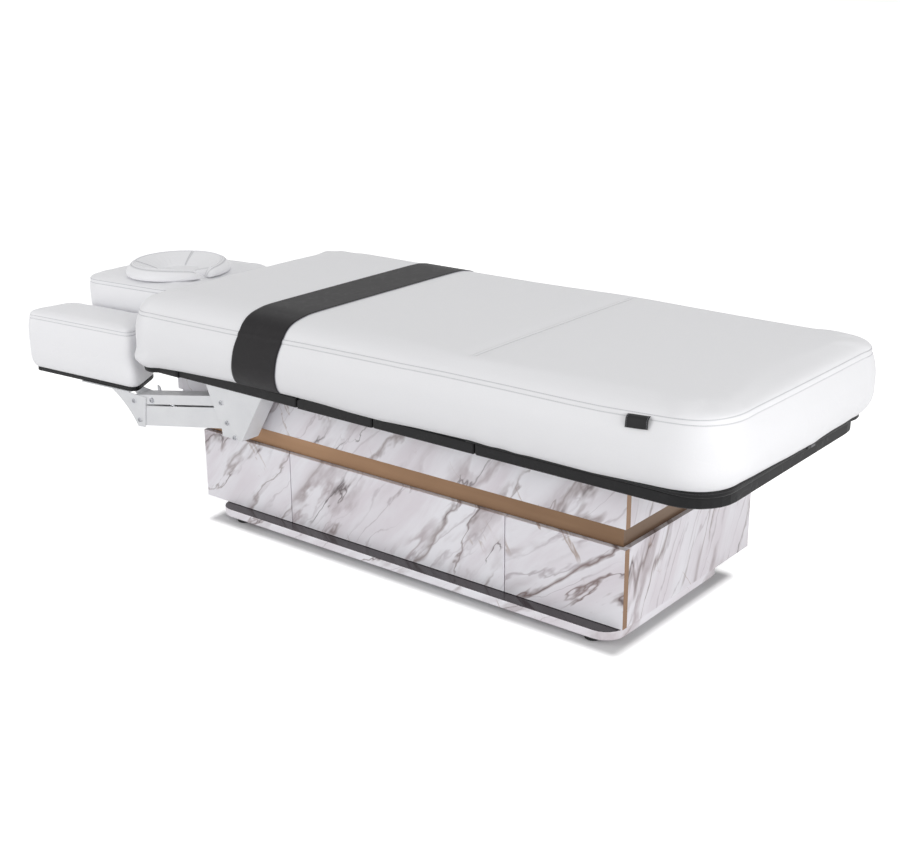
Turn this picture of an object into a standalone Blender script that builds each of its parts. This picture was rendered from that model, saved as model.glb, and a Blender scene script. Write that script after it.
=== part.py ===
"""A spa treatment table: a cabinet base with drawers, a top that lifts and folds, padding and two armrests.

Metres, +Z up. The head end lies towards -X and the near side, with the drawers, towards -Y.
The origin lies on the floor, under the middle of the whole table.
"""

import math

import bmesh
import bpy
from mathutils import Matrix, Vector

# Clearances that fits share
TOUCH = 0.0003  # between faces that rest on each other
RUN = 0.0006  # between faces that slide on each other
OVERRUN = 0.004  # how far a cutter reaches past what it cuts
SMOOTH_ANGLE = math.radians(32)
PIN_SIDES = 24
ROUND_SIDES = 20
STEM_SIDES = 12
EAR_STEPS = 10

# Lengths, from the head end to the foot end
FOOT_END = 1.1805
MATTRESS_OVERHANG = 0.015  # beyond the boards, at the head end
BOARD_FOOT_INSET = 0.0235
CALF_LENGTH = 0.631
THIGH_LENGTH = 0.319
SEAT_LENGTH = 0.261
BACK_LENGTH = 0.601
CABINET_FOOT = 0.900
FOOT_MODULE = 0.341
MIDDLE_MODULE = 0.726
HEAD_MODULE = 0.339
FRIEZE_OVERHANG = 0.099

# Widths
MATTRESS_WIDTH = 0.826
BOARD_WIDTH = 0.780
CABINET_WIDTH = 0.620

# Heights, from the floor up
FOOT_HEIGHT = 0.017
PLINTH_THICK = 0.0225
LOWER_HEIGHT = 0.204
BAND_HEIGHT = 0.050
FRIEZE_HEIGHT = 0.108
TOP_CLEARANCE = 0.014
BOARD_THICK = 0.029
MATTRESS_THICK = 0.2035

PLINTH_TOP = FOOT_HEIGHT + PLINTH_THICK
LOWER_TOP = PLINTH_TOP + LOWER_HEIGHT
BAND_TOP = LOWER_TOP + BAND_HEIGHT
FRIEZE_TOP = BAND_TOP + FRIEZE_HEIGHT
BOARD_BOTTOM = FRIEZE_TOP + TOP_CLEARANCE
BOARD_TOP = BOARD_BOTTOM + BOARD_THICK
CROWN = BOARD_TOP + MATTRESS_THICK

BOARD_FOOT = FOOT_END - BOARD_FOOT_INSET
CALF_HINGE_X = BOARD_FOOT - CALF_LENGTH
THIGH_HINGE_X = CALF_HINGE_X - THIGH_LENGTH
BACK_HINGE_X = THIGH_HINGE_X - SEAT_LENGTH
BOARD_HEAD = BACK_HINGE_X - BACK_LENGTH
MATTRESS_HEAD = BOARD_HEAD - MATTRESS_OVERHANG
MATTRESS_LENGTH = FOOT_END - MATTRESS_HEAD
SEAM_FOOT_X = CABINET_FOOT - FOOT_MODULE
SEAM_HEAD_X = SEAM_FOOT_X - MIDDLE_MODULE
CABINET_HEAD = SEAM_HEAD_X - HEAD_MODULE
FRIEZE_HEAD = CABINET_HEAD - FRIEZE_OVERHANG
NEAR = -CABINET_WIDTH / 2
FAR = CABINET_WIDTH / 2

# Cabinet boards, drawers and plinth
PANEL = 0.018
BAND_RECESS = 0.013
SEAM_GAP = 0.003
DRAWER_GAP = 0.0015
HEAD_FRIEZE_HEIGHT = 0.056
PLINTH_FRONT_REACH = 0.038
PLINTH_BACK_SETBACK = 0.128
PLINTH_HEAD_SETBACK = 0.077
PLINTH_FOOT_SETBACK = 0.003
PLINTH_CORNER = 0.055
PLINTH_EDGE_ROUND = 0.002
FOOT_RADIUS = 0.020
FOOT_INSET_X = 0.075
FOOT_INSET_Y = 0.034
FOOT_LIP = 0.004
TRAY_WALL = 0.012
TRAY_CLEARANCE = 0.023  # between a tray and the lift columns behind it
TRAY_HEIGHT = 0.150
TRAY_LIFT = 0.016
RUNNER_WIDTH = 0.0125
RUNNER_HEIGHT = 0.028
RUNNER_LIFT = 0.052

# Lift columns and the frame that they carry
COLUMN_SIDE = 0.110
TRAY_DEPTH = CABINET_WIDTH / 2 - PANEL - COLUMN_SIDE / 2 - TRAY_CLEARANCE
COLUMN_WALL = 0.004
COLUMN_X = (0.000, 0.440)
COLUMN_TOP = 0.315
COLUMN_ROUND = 0.010
COLUMN_STEP = 0.012
FLANGE_SIDE = 0.160
FLANGE_THICK = 0.008
RAIL_Y = 0.100
RAIL_WIDTH = 0.030
RAIL_HEIGHT = 0.040
RAIL_HEAD_SETBACK = 0.086
RAIL_FOOT_SETBACK = 0.050
SECTION_HEIGHT = 0.030
SECTION_Y = 0.110
SECTION_WIDTH = 0.030
CROSSBAR = 0.030
SECTION_END_GAP = 0.012
BACK_FRAME_SETBACK = 0.017  # inside the frieze
CALF_FRAME_SETBACK = 0.022
MIDDLE_BAR_SETBACK = 0.140
SEAT_BLOCK_GAP = 0.026
RAIL_HEAD = CABINET_HEAD + RAIL_HEAD_SETBACK
RAIL_FOOT = CABINET_FOOT - RAIL_FOOT_SETBACK
BACK_FRAME_HEAD = FRIEZE_HEAD + PANEL + BACK_FRAME_SETBACK
CALF_FRAME_FOOT = CABINET_FOOT - PANEL - CALF_FRAME_SETBACK
MIDDLE_BAR_X = BACK_FRAME_HEAD + MIDDLE_BAR_SETBACK

# Hinges between the sections
HINGE_DEPTH = 0.009  # below the top face of the boards
EAR_THICK = 0.006
EAR_ROUND = 0.0085
HINGE_PIN = 0.004
PIN_PLAY = 0.0005
NOTCH_HALF_LENGTH = 0.014
NOTCH_MARGIN = 0.002
BACK_TRAVEL = math.radians(60)
THIGH_TRAVEL = math.radians(25)
BOARD_GAP = 0.003
FOLD_PLAY = 0.0012  # between a folded section and the bevel that it folds onto

# Actuators and the horns that they push
PIN_DROP = 0.066  # of the rod's pin below the hinge axis
HORN_THICK = 0.010
HORN_HALF_WIDTH = 0.013
HORN_TIP = 0.003
ROD_PIN = 0.005
SLOT_PLAY = 0.0022
FORK_CHEEK = 0.006
ACTUATOR_Y = 0.035
ACTUATOR_SIDE = 0.044
ACTUATOR_LENGTH = 0.125
ACTUATOR_NOSE = 0.034
ROD_RADIUS = 0.008
ROD_HIDDEN = 0.140
SEAT_PLATE = 0.004

# Mattress
MATTRESS_FOOT_CORNER = 0.115
MATTRESS_HEAD_CORNER = 0.080
SIDE_TUCK = 0.016  # how far the sides draw in down to the board
SIDE_BULGE = 0.010  # of the sides at mid height, beyond the sewn lines
SHOULDER = 0.066  # how far in the flat of the crown starts
HEAD_DROP = 0.036  # how much lower the upper stitch runs at the head end
STITCH_DROP = 0.025  # of the upper stitch below the crown, at the foot end
STITCH_PITCH = 0.013
STITCH_SINK = 0.002
CROSS_SEAM_X = 0.490
CROSS_SEAM_RADIUS = 0.0025
BOARD_CORNER = 0.108
BOARD_EDGE_ROUND = 0.005
BOARD_EDGE_ANGLE = math.radians(60)
PAD_GAP = 0.0006

# Headrest
HEADREST_LENGTH = 0.450
HEADREST_WIDTH = 0.430
HEADREST_THICK = 0.120
HEADREST_CORNER = 0.085
HEADREST_BOARD = 0.012
HEADREST_BOARD_INSET = 0.014
HEADREST_REACH = 0.045  # of its hinge beyond the back board
HEADREST_RISE = 0.0465  # of its hinge above the back board's underside
HEADREST_DROOP = math.radians(2.0)
HEADREST_EAR_GAP = 0.0115
HEADREST_ROD = 0.006
HEADREST_ROD_Y = 0.075
HEADREST_ROD_LENGTH = 0.400
HEADREST_STOP = 0.015
BRACKET_THICK = 0.008
BRACKET_WIDTH = 0.180
KNUCKLE = 0.009
KNUCKLE_HALF = 0.050
EAR_LONG = 0.020
CUSHION_OUTER = 0.155
CUSHION_BAND = 0.085
CUSHION_HEIGHT = 0.045
CUSHION_SEAT = 0.42  # share of the height at which the section is widest
CUSHION_SIDES = 14
CUSHION_BEND_STEPS = 16
CUSHION_LEG_STEPS = 5
CUSHION_HEAD_INSET = 0.050
CUSHION_FOOT_INSET = 0.030
HEADREST_HINGE_X = BOARD_HEAD - HEADREST_REACH
HEADREST_HINGE_Z = BOARD_BOTTOM + HEADREST_RISE
HEADREST_ROD_INNER = HEADREST_HINGE_X + HEADREST_ROD_LENGTH
CUSHION_HEAD_X = HEADREST_HINGE_X - HEADREST_LENGTH + CUSHION_HEAD_INSET
CUSHION_FOOT_X = HEADREST_HINGE_X - CUSHION_FOOT_INSET

# Armrests. Places of the linkage are (x, z), counted from the back board's head edge and underside
ARM_CLEARANCE = 0.015  # between the cabinet's side and the linkage
ARM_WIDTH = 0.0615
ARM_INNER = CABINET_WIDTH / 2 + ARM_CLEARANCE
ARM_OUTER = ARM_INNER + ARM_WIDTH
ARM_SHEET = 0.003
PIVOT_A_OFFSET = (0.312, -0.0425)
PIVOT_B_OFFSET = (0.332, -0.0965)
STRUT_FOOT_OFFSET = (0.359, -0.1335)
FRAME_OFFSETS = ((0.253, 0.0), (0.469, 0.0), (0.385, -0.1395), (0.311, -0.1385), (0.308, -0.1195))
GUSSET_TIP_OFFSET = -0.155
GUSSET_HOLLOW_OFFSET = (-0.087, -0.1255)
GUSSET_FOOT_OFFSET = (-0.047, -0.1845)
GUSSET_LOW_OFFSET = (-0.018, -0.1815)
GUSSET_HIGH_OFFSET = (-0.007, -0.0895)
GUSSET_FIN_OFFSET = (-0.021, -0.0695)
FLANGE_TIP_OFFSET = -0.298
FLANGE_END_OFFSET = -0.081
FLANGE_SHEET = 0.003
ARM_LENGTH = 0.375
ARM_SLOPE = math.radians(10.2)
STRUT_HEAD_ALONG = 0.306
STRUT_HEAD_DROP = 0.001
UPPER_TOP = 0.017
UPPER_BOTTOM = 0.0105
LOWER_TOP_EDGE = 0.0407
LOWER_BOTTOM_EDGE = 0.0175
ARM_TAIL = 0.017
LOWER_WEB_START = 0.130
ARM_PIN = 0.004
ARM_PIN_HEAD = 0.0070
ARM_PIN_PROUD = 0.0025
STRUT_TUBE = 0.009
STRUT_TUBE_LENGTH = 0.185
STRUT_ROD = 0.0045
STRUT_ROD_INNER = 0.060
STRUT_ROD_ROOM = 0.010
STRUT_END_GAP = 0.016
EYE_RADIUS = 0.0085
EYE_HALF = 0.006
STRUT_HEAD_PLAY = 0.0016
ARMREST_FOOT_OFFSET = -0.035
ARMREST_LENGTH = 0.502
ARMREST_INNER_Y = 0.222
ARMREST_OUTER_Y = 0.390
ARMREST_DROP = 0.085  # of the padding's underside below the back board, at the middle of its length
ARMREST_TILT = math.radians(1.97)
ARMREST_THICK = 0.186
ARMREST_CROWN = 0.010  # of the middle above the sewn edge
ARMREST_BULGE = 0.003
ARMREST_FOOT_SLANT = 0.105  # its foot end runs back towards the inside
ARMREST_HEAD_SLANT = 0.035
ARMREST_CORNER = 0.040
ARMREST_BOARD = 0.008
ARMREST_BOARD_INSET = 0.004


def from_board(offset):
    """An (x, z) place counted from the back board's head edge and underside."""
    return (BOARD_HEAD + offset[0], BOARD_BOTTOM + offset[1])


PIVOT_A = from_board(PIVOT_A_OFFSET)
PIVOT_B = from_board(PIVOT_B_OFFSET)
STRUT_FOOT = from_board(STRUT_FOOT_OFFSET)
ARMREST_FOOT_X = BOARD_HEAD + ARMREST_FOOT_OFFSET
ARMREST_HEAD_X = ARMREST_FOOT_X - ARMREST_LENGTH

COLOURS = {
    "marble": ((0.76, 0.73, 0.75), 0.30, 0.0),
    "bronze": ((0.36, 0.22, 0.10), 0.42, 0.6),
    "slab": ((0.07, 0.06, 0.065), 0.20, 0.0),
    "black": ((0.02, 0.02, 0.021), 0.55, 0.0),
    "white": ((0.83, 0.83, 0.84), 0.48, 0.0),
    "grey": ((0.62, 0.63, 0.64), 0.42, 0.2),
    "carcass": ((0.55, 0.54, 0.53), 0.60, 0.0),
    "steel": ((0.60, 0.61, 0.62), 0.28, 1.0),
}


def material(name, shade):
    """A material of the node's own, in one of the named colours."""
    colour, roughness, metallic = COLOURS[shade]
    made = bpy.data.materials.new(name)
    made.use_nodes = True
    shader = made.node_tree.nodes["Principled BSDF"]
    shader.inputs["Base Color"].default_value = (*colour, 1.0)
    shader.inputs["Roughness"].default_value = roughness
    shader.inputs["Metallic"].default_value = metallic
    made.diffuse_color = (*colour, 1.0)
    return made


def new_object(name, bm):
    """An object from a closed bmesh, with its faces turned outwards."""
    bmesh.ops.recalc_face_normals(bm, faces=bm.faces)
    mesh = bpy.data.meshes.new(name)
    bm.to_mesh(mesh)
    bm.free()
    made = bpy.data.objects.new(name, mesh)
    bpy.context.scene.collection.objects.link(made)
    return made


def box(low, high, name="box"):
    """A block between two corners."""
    low = Vector(low)
    high = Vector(high)
    bm = bmesh.new()
    size = Matrix.Diagonal((*(high - low), 1.0))
    bmesh.ops.create_cube(bm, size=1.0, matrix=Matrix.Translation((low + high) / 2) @ size)
    return new_object(name, bm)


def prism(outline, low, high, axis, name="prism"):
    """An outline of two coordinates, extruded along axis (0, 1 or 2) from low to high."""
    bm = bmesh.new()
    corners = []
    for first, second in outline:
        place = [first, second]
        place.insert(axis, low)
        corners.append(bm.verts.new(place))
    face = bm.faces.new(corners)
    moved = bmesh.ops.extrude_face_region(bm, geom=[face])
    shift = Vector((0.0, 0.0, 0.0))
    shift[axis] = high - low
    top = [v for v in moved["geom"] if isinstance(v, bmesh.types.BMVert)]
    bmesh.ops.translate(bm, verts=top, vec=shift)
    return new_object(name, bm)


def rod(start, end, radius, sides=16, name="rod"):
    """A round bar from one point to another."""
    start = Vector(start)
    end = Vector(end)
    bm = bmesh.new()
    turn = Vector((0.0, 0.0, 1.0)).rotation_difference(end - start).to_matrix().to_4x4()
    bmesh.ops.create_cone(
        bm,
        cap_ends=True,
        segments=sides,
        radius1=radius,
        radius2=radius,
        depth=(end - start).length,
        matrix=Matrix.Translation((start + end) / 2) @ turn,
    )
    return new_object(name, bm)


def arc(centre, radius, start, end, steps):
    """Points on an arc, its angles in radians."""
    return [
        (
            centre[0] + radius * math.cos(start + (end - start) * i / steps),
            centre[1] + radius * math.sin(start + (end - start) * i / steps),
        )
        for i in range(steps + 1)
    ]


def rounded(low, high, radii, steps=6):
    """A rectangle's outline with its own radius at each corner, from the low-low one on, anticlockwise."""
    quarter = math.pi / 2
    corners = ((low[0], low[1]), (high[0], low[1]), (high[0], high[1]), (low[0], high[1]))
    inward = ((1, 1), (-1, 1), (-1, -1), (1, -1))
    points = []
    for i in range(len(corners)):
        radius = radii[i]
        centre = (corners[i][0] + inward[i][0] * radius, corners[i][1] + inward[i][1] * radius)
        points += arc(centre, radius, (i + 2) * quarter, (i + 3) * quarter, steps)
    return points


def bezier(start, pull, end, steps):
    """Points on a curve from start to end, drawn towards pull."""
    points = []
    for i in range(steps + 1):
        t = i / steps
        weights = ((1 - t) ** 2, 2 * t * (1 - t), t * t)
        points.append(tuple(sum(w * c for w, c in zip(weights, axis)) for axis in zip(start, pull, end)))
    return points


def boolean(body, others, operation):
    """Joins others to the body or cuts them from it, and removes them."""
    for other in others:
        step = body.modifiers.new(operation.lower(), "BOOLEAN")
        step.operation = operation
        step.solver = "EXACT"
        step.object = other
        other.hide_render = True
        other.display_type = "WIRE"
    return bake(body, others)


def bake(body, helpers=()):
    """Applies the body's modifiers and removes the helper objects."""
    graph = bpy.context.evaluated_depsgraph_get()
    mesh = bpy.data.meshes.new_from_object(body.evaluated_get(graph))
    body.modifiers.clear()
    body.data = mesh
    for helper in helpers:
        bpy.data.objects.remove(helper)
    return body


def union(body, *others):
    return boolean(body, others, "UNION")


def cut(body, *others):
    return boolean(body, others, "DIFFERENCE")


def edge_round(body, width, segments=2, angle=math.radians(40)):
    """Rounds the body's sharp edges with a live Bevel."""
    step = body.modifiers.new("edge_round", "BEVEL")
    step.width = width
    step.segments = segments
    step.limit_method = "ANGLE"
    step.angle_limit = angle
    return body


def empty(name, place, parent=None):
    """A pivot, on the axis of the joint that it stands for."""
    made = bpy.data.objects.new(name, None)
    made.empty_display_size = EAR_LONG
    bpy.context.scene.collection.objects.link(made)
    made.location = Vector(place)
    if parent:
        made.parent = parent
        made.location -= world_place(parent)
    return made


def world_place(pivot):
    """Where a pivot stands, counted up through its parents."""
    place = Vector(pivot.location)
    while pivot.parent:
        pivot = pivot.parent
        place += pivot.location
    return place


def finish(piece, name, shade, pivot, tilt=0.0):
    """Names a piece, gives it its finish and hangs it on its pivot, turned about the pivot by tilt."""
    piece.name = name
    piece.data.name = name
    piece.data.materials.clear()
    piece.data.materials.append(material(name, shade))
    piece.data.transform(Matrix.Translation(-world_place(pivot)))
    piece.parent = pivot
    piece.rotation_euler = (0.0, tilt, 0.0)
    piece.data.shade_smooth()
    piece.data.set_sharp_from_angle(angle=SMOOTH_ANGLE)
    return piece


def plinth(base):
    """The slab under the cabinet, proud of the drawers and short of the far side, on round feet."""
    low = (CABINET_HEAD + PLINTH_HEAD_SETBACK, NEAR - PLINTH_FRONT_REACH)
    high = (CABINET_FOOT - PLINTH_FOOT_SETBACK, FAR - PLINTH_BACK_SETBACK)
    slab = prism(rounded(low, high, [PLINTH_CORNER] * 4), FOOT_HEIGHT, PLINTH_TOP, 2)
    edge_round(slab, PLINTH_EDGE_ROUND)
    finish(slab, "plinth", "slab", base)
    feet = [
        (x, y)
        for y in (low[1] + FOOT_INSET_Y, high[1] - FOOT_INSET_Y)
        for x in (low[0] + FOOT_INSET_X, high[0] - FOOT_INSET_X)
    ]
    for i, (x, y) in enumerate(feet):
        foot = rod((x, y, 0.0), (x, y, FOOT_HEIGHT - TOUCH), FOOT_RADIUS, sides=ROUND_SIDES)
        collar = rod((x, y, FOOT_LIP), (x, y, FOOT_HEIGHT - TOUCH), FOOT_RADIUS - FOOT_LIP, sides=ROUND_SIDES)
        edge_round(union(foot, collar), FOOT_LIP / 2, segments=1)
        finish(foot, f"foot_pad_{i + 1}", "black", base)


def carcass(base):
    """The lower cabinet's fixed boards: two ends, the far side and two dividers."""
    floor = PLINTH_TOP + TOUCH
    top = LOWER_TOP - TOUCH
    inner_near = NEAR + PANEL + TOUCH
    inner_far = FAR - PANEL - TOUCH
    foot = box((CABINET_FOOT - PANEL, inner_near, floor), (CABINET_FOOT, FAR, top))
    finish(foot, "end_panel_foot", "marble", base)
    head = box((CABINET_HEAD, inner_near, floor), (CABINET_HEAD + PANEL, FAR, top))
    finish(head, "end_panel_head", "marble", base)
    far_low = (CABINET_HEAD + PANEL + TOUCH, FAR - PANEL, floor)
    far = box(far_low, (CABINET_FOOT - PANEL - TOUCH, FAR, top))
    finish(far, "far_panel", "marble", base)
    for name, x in (("divider_head", SEAM_HEAD_X), ("divider_foot", SEAM_FOOT_X)):
        board = box((x - PANEL / 2, inner_near, floor), (x + PANEL / 2, inner_far, top))
        finish(board, name, "carcass", base)


def column_hole(x, half, low, high):
    """A square cutter round a column."""
    return box((x - half, -half, low), (x + half, half, high))


def band_deck(base):
    """The recessed bronze band with the deck that closes the cabinet: a lid with its rim turned down."""
    low = (CABINET_HEAD + BAND_RECESS, NEAR + BAND_RECESS, LOWER_TOP)
    high = (CABINET_FOOT - BAND_RECESS, FAR - BAND_RECESS, BAND_TOP)
    lid = box(low, high)
    hollow = box(
        (low[0] + PANEL, low[1] + PANEL, low[2] - OVERRUN),
        (high[0] - PANEL, high[1] - PANEL, high[2] - PANEL),
    )
    half = COLUMN_SIDE / 2 + RUN
    holes = [column_hole(x, half, LOWER_TOP, BAND_TOP + OVERRUN) for x in COLUMN_X]
    cut(lid, hollow, *holes)
    finish(lid, "band_deck", "bronze", base)


def frieze(base):
    """The upper shell, open above, which overhangs the cabinet at the head end."""
    floor = BAND_TOP + TOUCH
    foot_side = FRIEZE_HEAD + PANEL
    near = box((foot_side, NEAR, floor), (CABINET_FOOT, NEAR + PANEL, FRIEZE_TOP))
    finish(near, "frieze_near", "marble", base)
    far = box((foot_side, FAR - PANEL, floor), (CABINET_FOOT, FAR, FRIEZE_TOP))
    finish(far, "frieze_far", "marble", base)
    inner = CABINET_WIDTH / 2 - PANEL - TOUCH
    foot = box((CABINET_FOOT - PANEL, -inner, floor), (CABINET_FOOT, inner, FRIEZE_TOP))
    finish(foot, "frieze_foot", "marble", base)
    head_floor = FRIEZE_TOP - HEAD_FRIEZE_HEIGHT
    head = box((FRIEZE_HEAD, NEAR, head_floor), (foot_side - TOUCH, FAR, FRIEZE_TOP))
    finish(head, "frieze_head", "marble", base)


def drawer(name, low_x, high_x, inner_low_x, inner_high_x, base):
    """A front with its open tray, whose side rails run along the boards beside it."""
    pivot = empty(f"slide_{name}", ((low_x + high_x) / 2, NEAR, LOWER_TOP), base)
    floor = PLINTH_TOP + DRAWER_GAP
    front = box((low_x, NEAR, floor), (high_x, NEAR + PANEL, LOWER_TOP - DRAWER_GAP))
    finish(front, f"drawer_front_{name}", "marble", pivot)
    near = NEAR + PANEL + TOUCH
    bottom = PLINTH_TOP + TRAY_LIFT
    wall_low = inner_low_x + RUN + RUNNER_WIDTH
    wall_high = inner_high_x - RUN - RUNNER_WIDTH
    tray = box((wall_low, near, bottom), (wall_high, near + TRAY_DEPTH, bottom + TRAY_HEIGHT))
    runner_floor = bottom + RUNNER_LIFT
    runners = box(
        (inner_low_x + RUN, near, runner_floor),
        (inner_high_x - RUN, near + TRAY_DEPTH, runner_floor + RUNNER_HEIGHT),
    )
    hollow = box(
        (wall_low + TRAY_WALL, near + TRAY_WALL, bottom + TRAY_WALL),
        (wall_high - TRAY_WALL, near + TRAY_DEPTH - TRAY_WALL, bottom + TRAY_HEIGHT + OVERRUN),
    )
    cut(union(tray, runners), hollow)
    finish(tray, f"drawer_tray_{name}", "carcass", pivot)


def drawers(base):
    """Three drawers side by side, parted by narrow seams over the dividers."""
    seam = SEAM_GAP / 2
    half = PANEL / 2
    drawer("head", CABINET_HEAD, SEAM_HEAD_X - seam, CABINET_HEAD + PANEL, SEAM_HEAD_X - half, base)
    drawer("middle", SEAM_HEAD_X + seam, SEAM_FOOT_X - seam, SEAM_HEAD_X + half, SEAM_FOOT_X - half, base)
    drawer("foot", SEAM_FOOT_X + seam, CABINET_FOOT, SEAM_FOOT_X + half, CABINET_FOOT - PANEL, base)


def square_tube(x, half, low, high, floor_thick=0.0):
    """A square tube with round corners, open above, with a floor or open below too."""
    radius = min(COLUMN_ROUND, half / 3)
    outer = rounded((x - half, -half), (x + half, half), [radius] * 4, steps=2)
    tube = prism(outer, low, high, 2)
    inner_half = half - COLUMN_WALL
    inner_radii = [radius * inner_half / half] * 4
    inner = rounded((x - inner_half, -inner_half), (x + inner_half, inner_half), inner_radii, steps=2)
    start = low + floor_thick if floor_thick else low - OVERRUN
    return cut(tube, prism(inner, start, high + OVERRUN, 2))


def stage_half(stage):
    """Half the side of a column's tube, counted from the outermost."""
    return COLUMN_SIDE / 2 - stage * (COLUMN_WALL + RUN)


def columns(base, stages):
    """Two telescopic lift columns: an outer tube on the plinth, a middle one that rises half as fast."""
    for name, x in zip(("head", "foot"), COLUMN_X):
        low = PLINTH_TOP + TOUCH
        outer = square_tube(x, stage_half(0), low, COLUMN_TOP, FLANGE_THICK)
        half = FLANGE_SIDE / 2
        flange = box((x - half, -COLUMN_SIDE / 2, low), (x + half, COLUMN_SIDE / 2, low + FLANGE_THICK))
        union(outer, flange)
        finish(outer, f"column_outer_{name}", "grey", base)
        middle_low = low + FLANGE_THICK + TOUCH
        middle = square_tube(x, stage_half(1), middle_low, COLUMN_TOP + COLUMN_STEP, COLUMN_WALL)
        finish(middle, f"column_middle_{name}", "grey", stages)


def ear(x, z, low_y, high_y, foot, pin=0.0, hole=0.0):
    """A hinge ear: a round top at (x, z) that runs down and sideways to the (x, z) points of its foot."""
    top = arc((x, z), EAR_ROUND, math.pi, 0.0, EAR_STEPS)
    plate = prism(top + foot, low_y, high_y, 1)
    if hole:
        cut(plate, rod((x, low_y - OVERRUN, z), (x, high_y + OVERRUN, z), hole, sides=PIN_SIDES))
    if pin:
        reach = EAR_THICK + RUN + EAR_THICK
        outward = math.copysign(1.0, low_y)
        start = low_y if outward > 0 else high_y
        union(plate, rod((x, start, z), (x, start + outward * reach, z), pin, sides=PIN_SIDES))
    return plate


def ear_faces(side, moving):
    """The Y range of the inner, pin-bearing ear or of the outer, turning one, on one side of the table."""
    inner = RAIL_Y - EAR_THICK - RUN
    start = inner + (EAR_THICK + RUN) * moving
    return sorted((side * start, side * (start + EAR_THICK)))


def lift_frame(top):
    """The frame on the columns: rails, crossbars, the seat's blocks and hinge ears, the inner tubes."""
    rail_top = BOARD_BOTTOM - TOUCH - SECTION_HEIGHT - TOUCH
    low = rail_top - RAIL_HEIGHT
    half = RAIL_WIDTH / 2
    parts = []
    for side in (-1, 1):
        y = side * RAIL_Y
        parts.append(box((RAIL_HEAD, y - half, low), (RAIL_FOOT, y + half, rail_top)))
    for x in (RAIL_HEAD, RAIL_FOOT - CROSSBAR):
        parts.append(box((x, -RAIL_Y, low), (x + CROSSBAR, RAIL_Y, rail_top)))
    middle = (BACK_HINGE_X + THIGH_HINGE_X) / 2
    reach = ACTUATOR_LENGTH / 2
    seat_top = BOARD_TOP - HINGE_DEPTH - PIN_DROP - ACTUATOR_SIDE / 2 - TOUCH
    parts.append(box((middle - reach, -RAIL_Y, seat_top - SEAT_PLATE), (middle + reach, RAIL_Y, seat_top)))
    for x in COLUMN_X:
        tube = stage_half(2)
        stage_low = PLINTH_TOP + TOUCH + FLANGE_THICK + TOUCH + COLUMN_WALL + TOUCH
        parts.append(square_tube(x, tube, stage_low, low))
        plate = FLANGE_SIDE / 2
        parts.append(box((x - plate, -RAIL_Y, low - FLANGE_THICK), (x + plate, RAIL_Y, seat_top)))
    block_low = BACK_HINGE_X + SEAT_BLOCK_GAP
    block_high = THIGH_HINGE_X - SEAT_BLOCK_GAP
    block_top = BOARD_BOTTOM - TOUCH
    for side in (-1, 1):
        ends = sorted((side * (RAIL_Y - half), side * (RAIL_Y + half)))
        parts.append(box((block_low, ends[0], rail_top - OVERRUN), (block_high, ends[1], block_top)))
        low_y, high_y = ear_faces(side, 0)
        hinge_z = BOARD_TOP - HINGE_DEPTH
        inside = block_low + OVERRUN
        foot = [(BACK_HINGE_X + EAR_ROUND, block_top), (inside, block_top)]
        foot += [(inside, rail_top), (BACK_HINGE_X - EAR_ROUND, rail_top)]
        parts.append(ear(BACK_HINGE_X, hinge_z, low_y, high_y, foot, pin=HINGE_PIN))
        inside = block_high - OVERRUN
        foot = [(THIGH_HINGE_X + EAR_ROUND, rail_top), (inside, rail_top)]
        foot += [(inside, block_top), (THIGH_HINGE_X - EAR_ROUND, block_top)]
        parts.append(ear(THIGH_HINGE_X, hinge_z, low_y, high_y, foot, pin=HINGE_PIN))
    frame = union(parts[0], *parts[1:])
    finish(frame, "lift_frame", "grey", top)


def section_bars(low_x, high_x, crossbars):
    """Two bars under a board section, joined by crossbars at the given X."""
    low = BOARD_BOTTOM - TOUCH - SECTION_HEIGHT
    high = BOARD_BOTTOM - TOUCH
    half = SECTION_WIDTH / 2
    parts = []
    for side in (-1, 1):
        y = side * SECTION_Y
        parts.append(box((low_x, y - half, low), (high_x, y + half, high)))
    for x in crossbars:
        parts.append(box((x, -SECTION_Y, low), (x + CROSSBAR, SECTION_Y, high)))
    return parts


def moving_ears(hinge_x, towards):
    """The turning ears of a section that lies on the side towards (-1 or 1) of its hinge."""
    low = BOARD_BOTTOM - TOUCH - SECTION_HEIGHT
    high = BOARD_BOTTOM - TOUCH
    hinge_z = BOARD_TOP - HINGE_DEPTH
    inside = hinge_x + towards * (SECTION_END_GAP + OVERRUN)
    ears = []
    for side in (-1, 1):
        low_y, high_y = ear_faces(side, 1)
        if towards > 0:
            foot = [(hinge_x + EAR_ROUND, high), (inside, high), (inside, low)]
            foot += [(hinge_x, low), (hinge_x - EAR_ROUND, low + EAR_ROUND)]
        else:
            foot = [(hinge_x + EAR_ROUND, low + EAR_ROUND), (hinge_x, low)]
            foot += [(inside, low), (inside, high), (hinge_x - EAR_ROUND, high)]
        ears.append(ear(hinge_x, hinge_z, low_y, high_y, foot, hole=HINGE_PIN + PIN_PLAY))
    return ears


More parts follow.
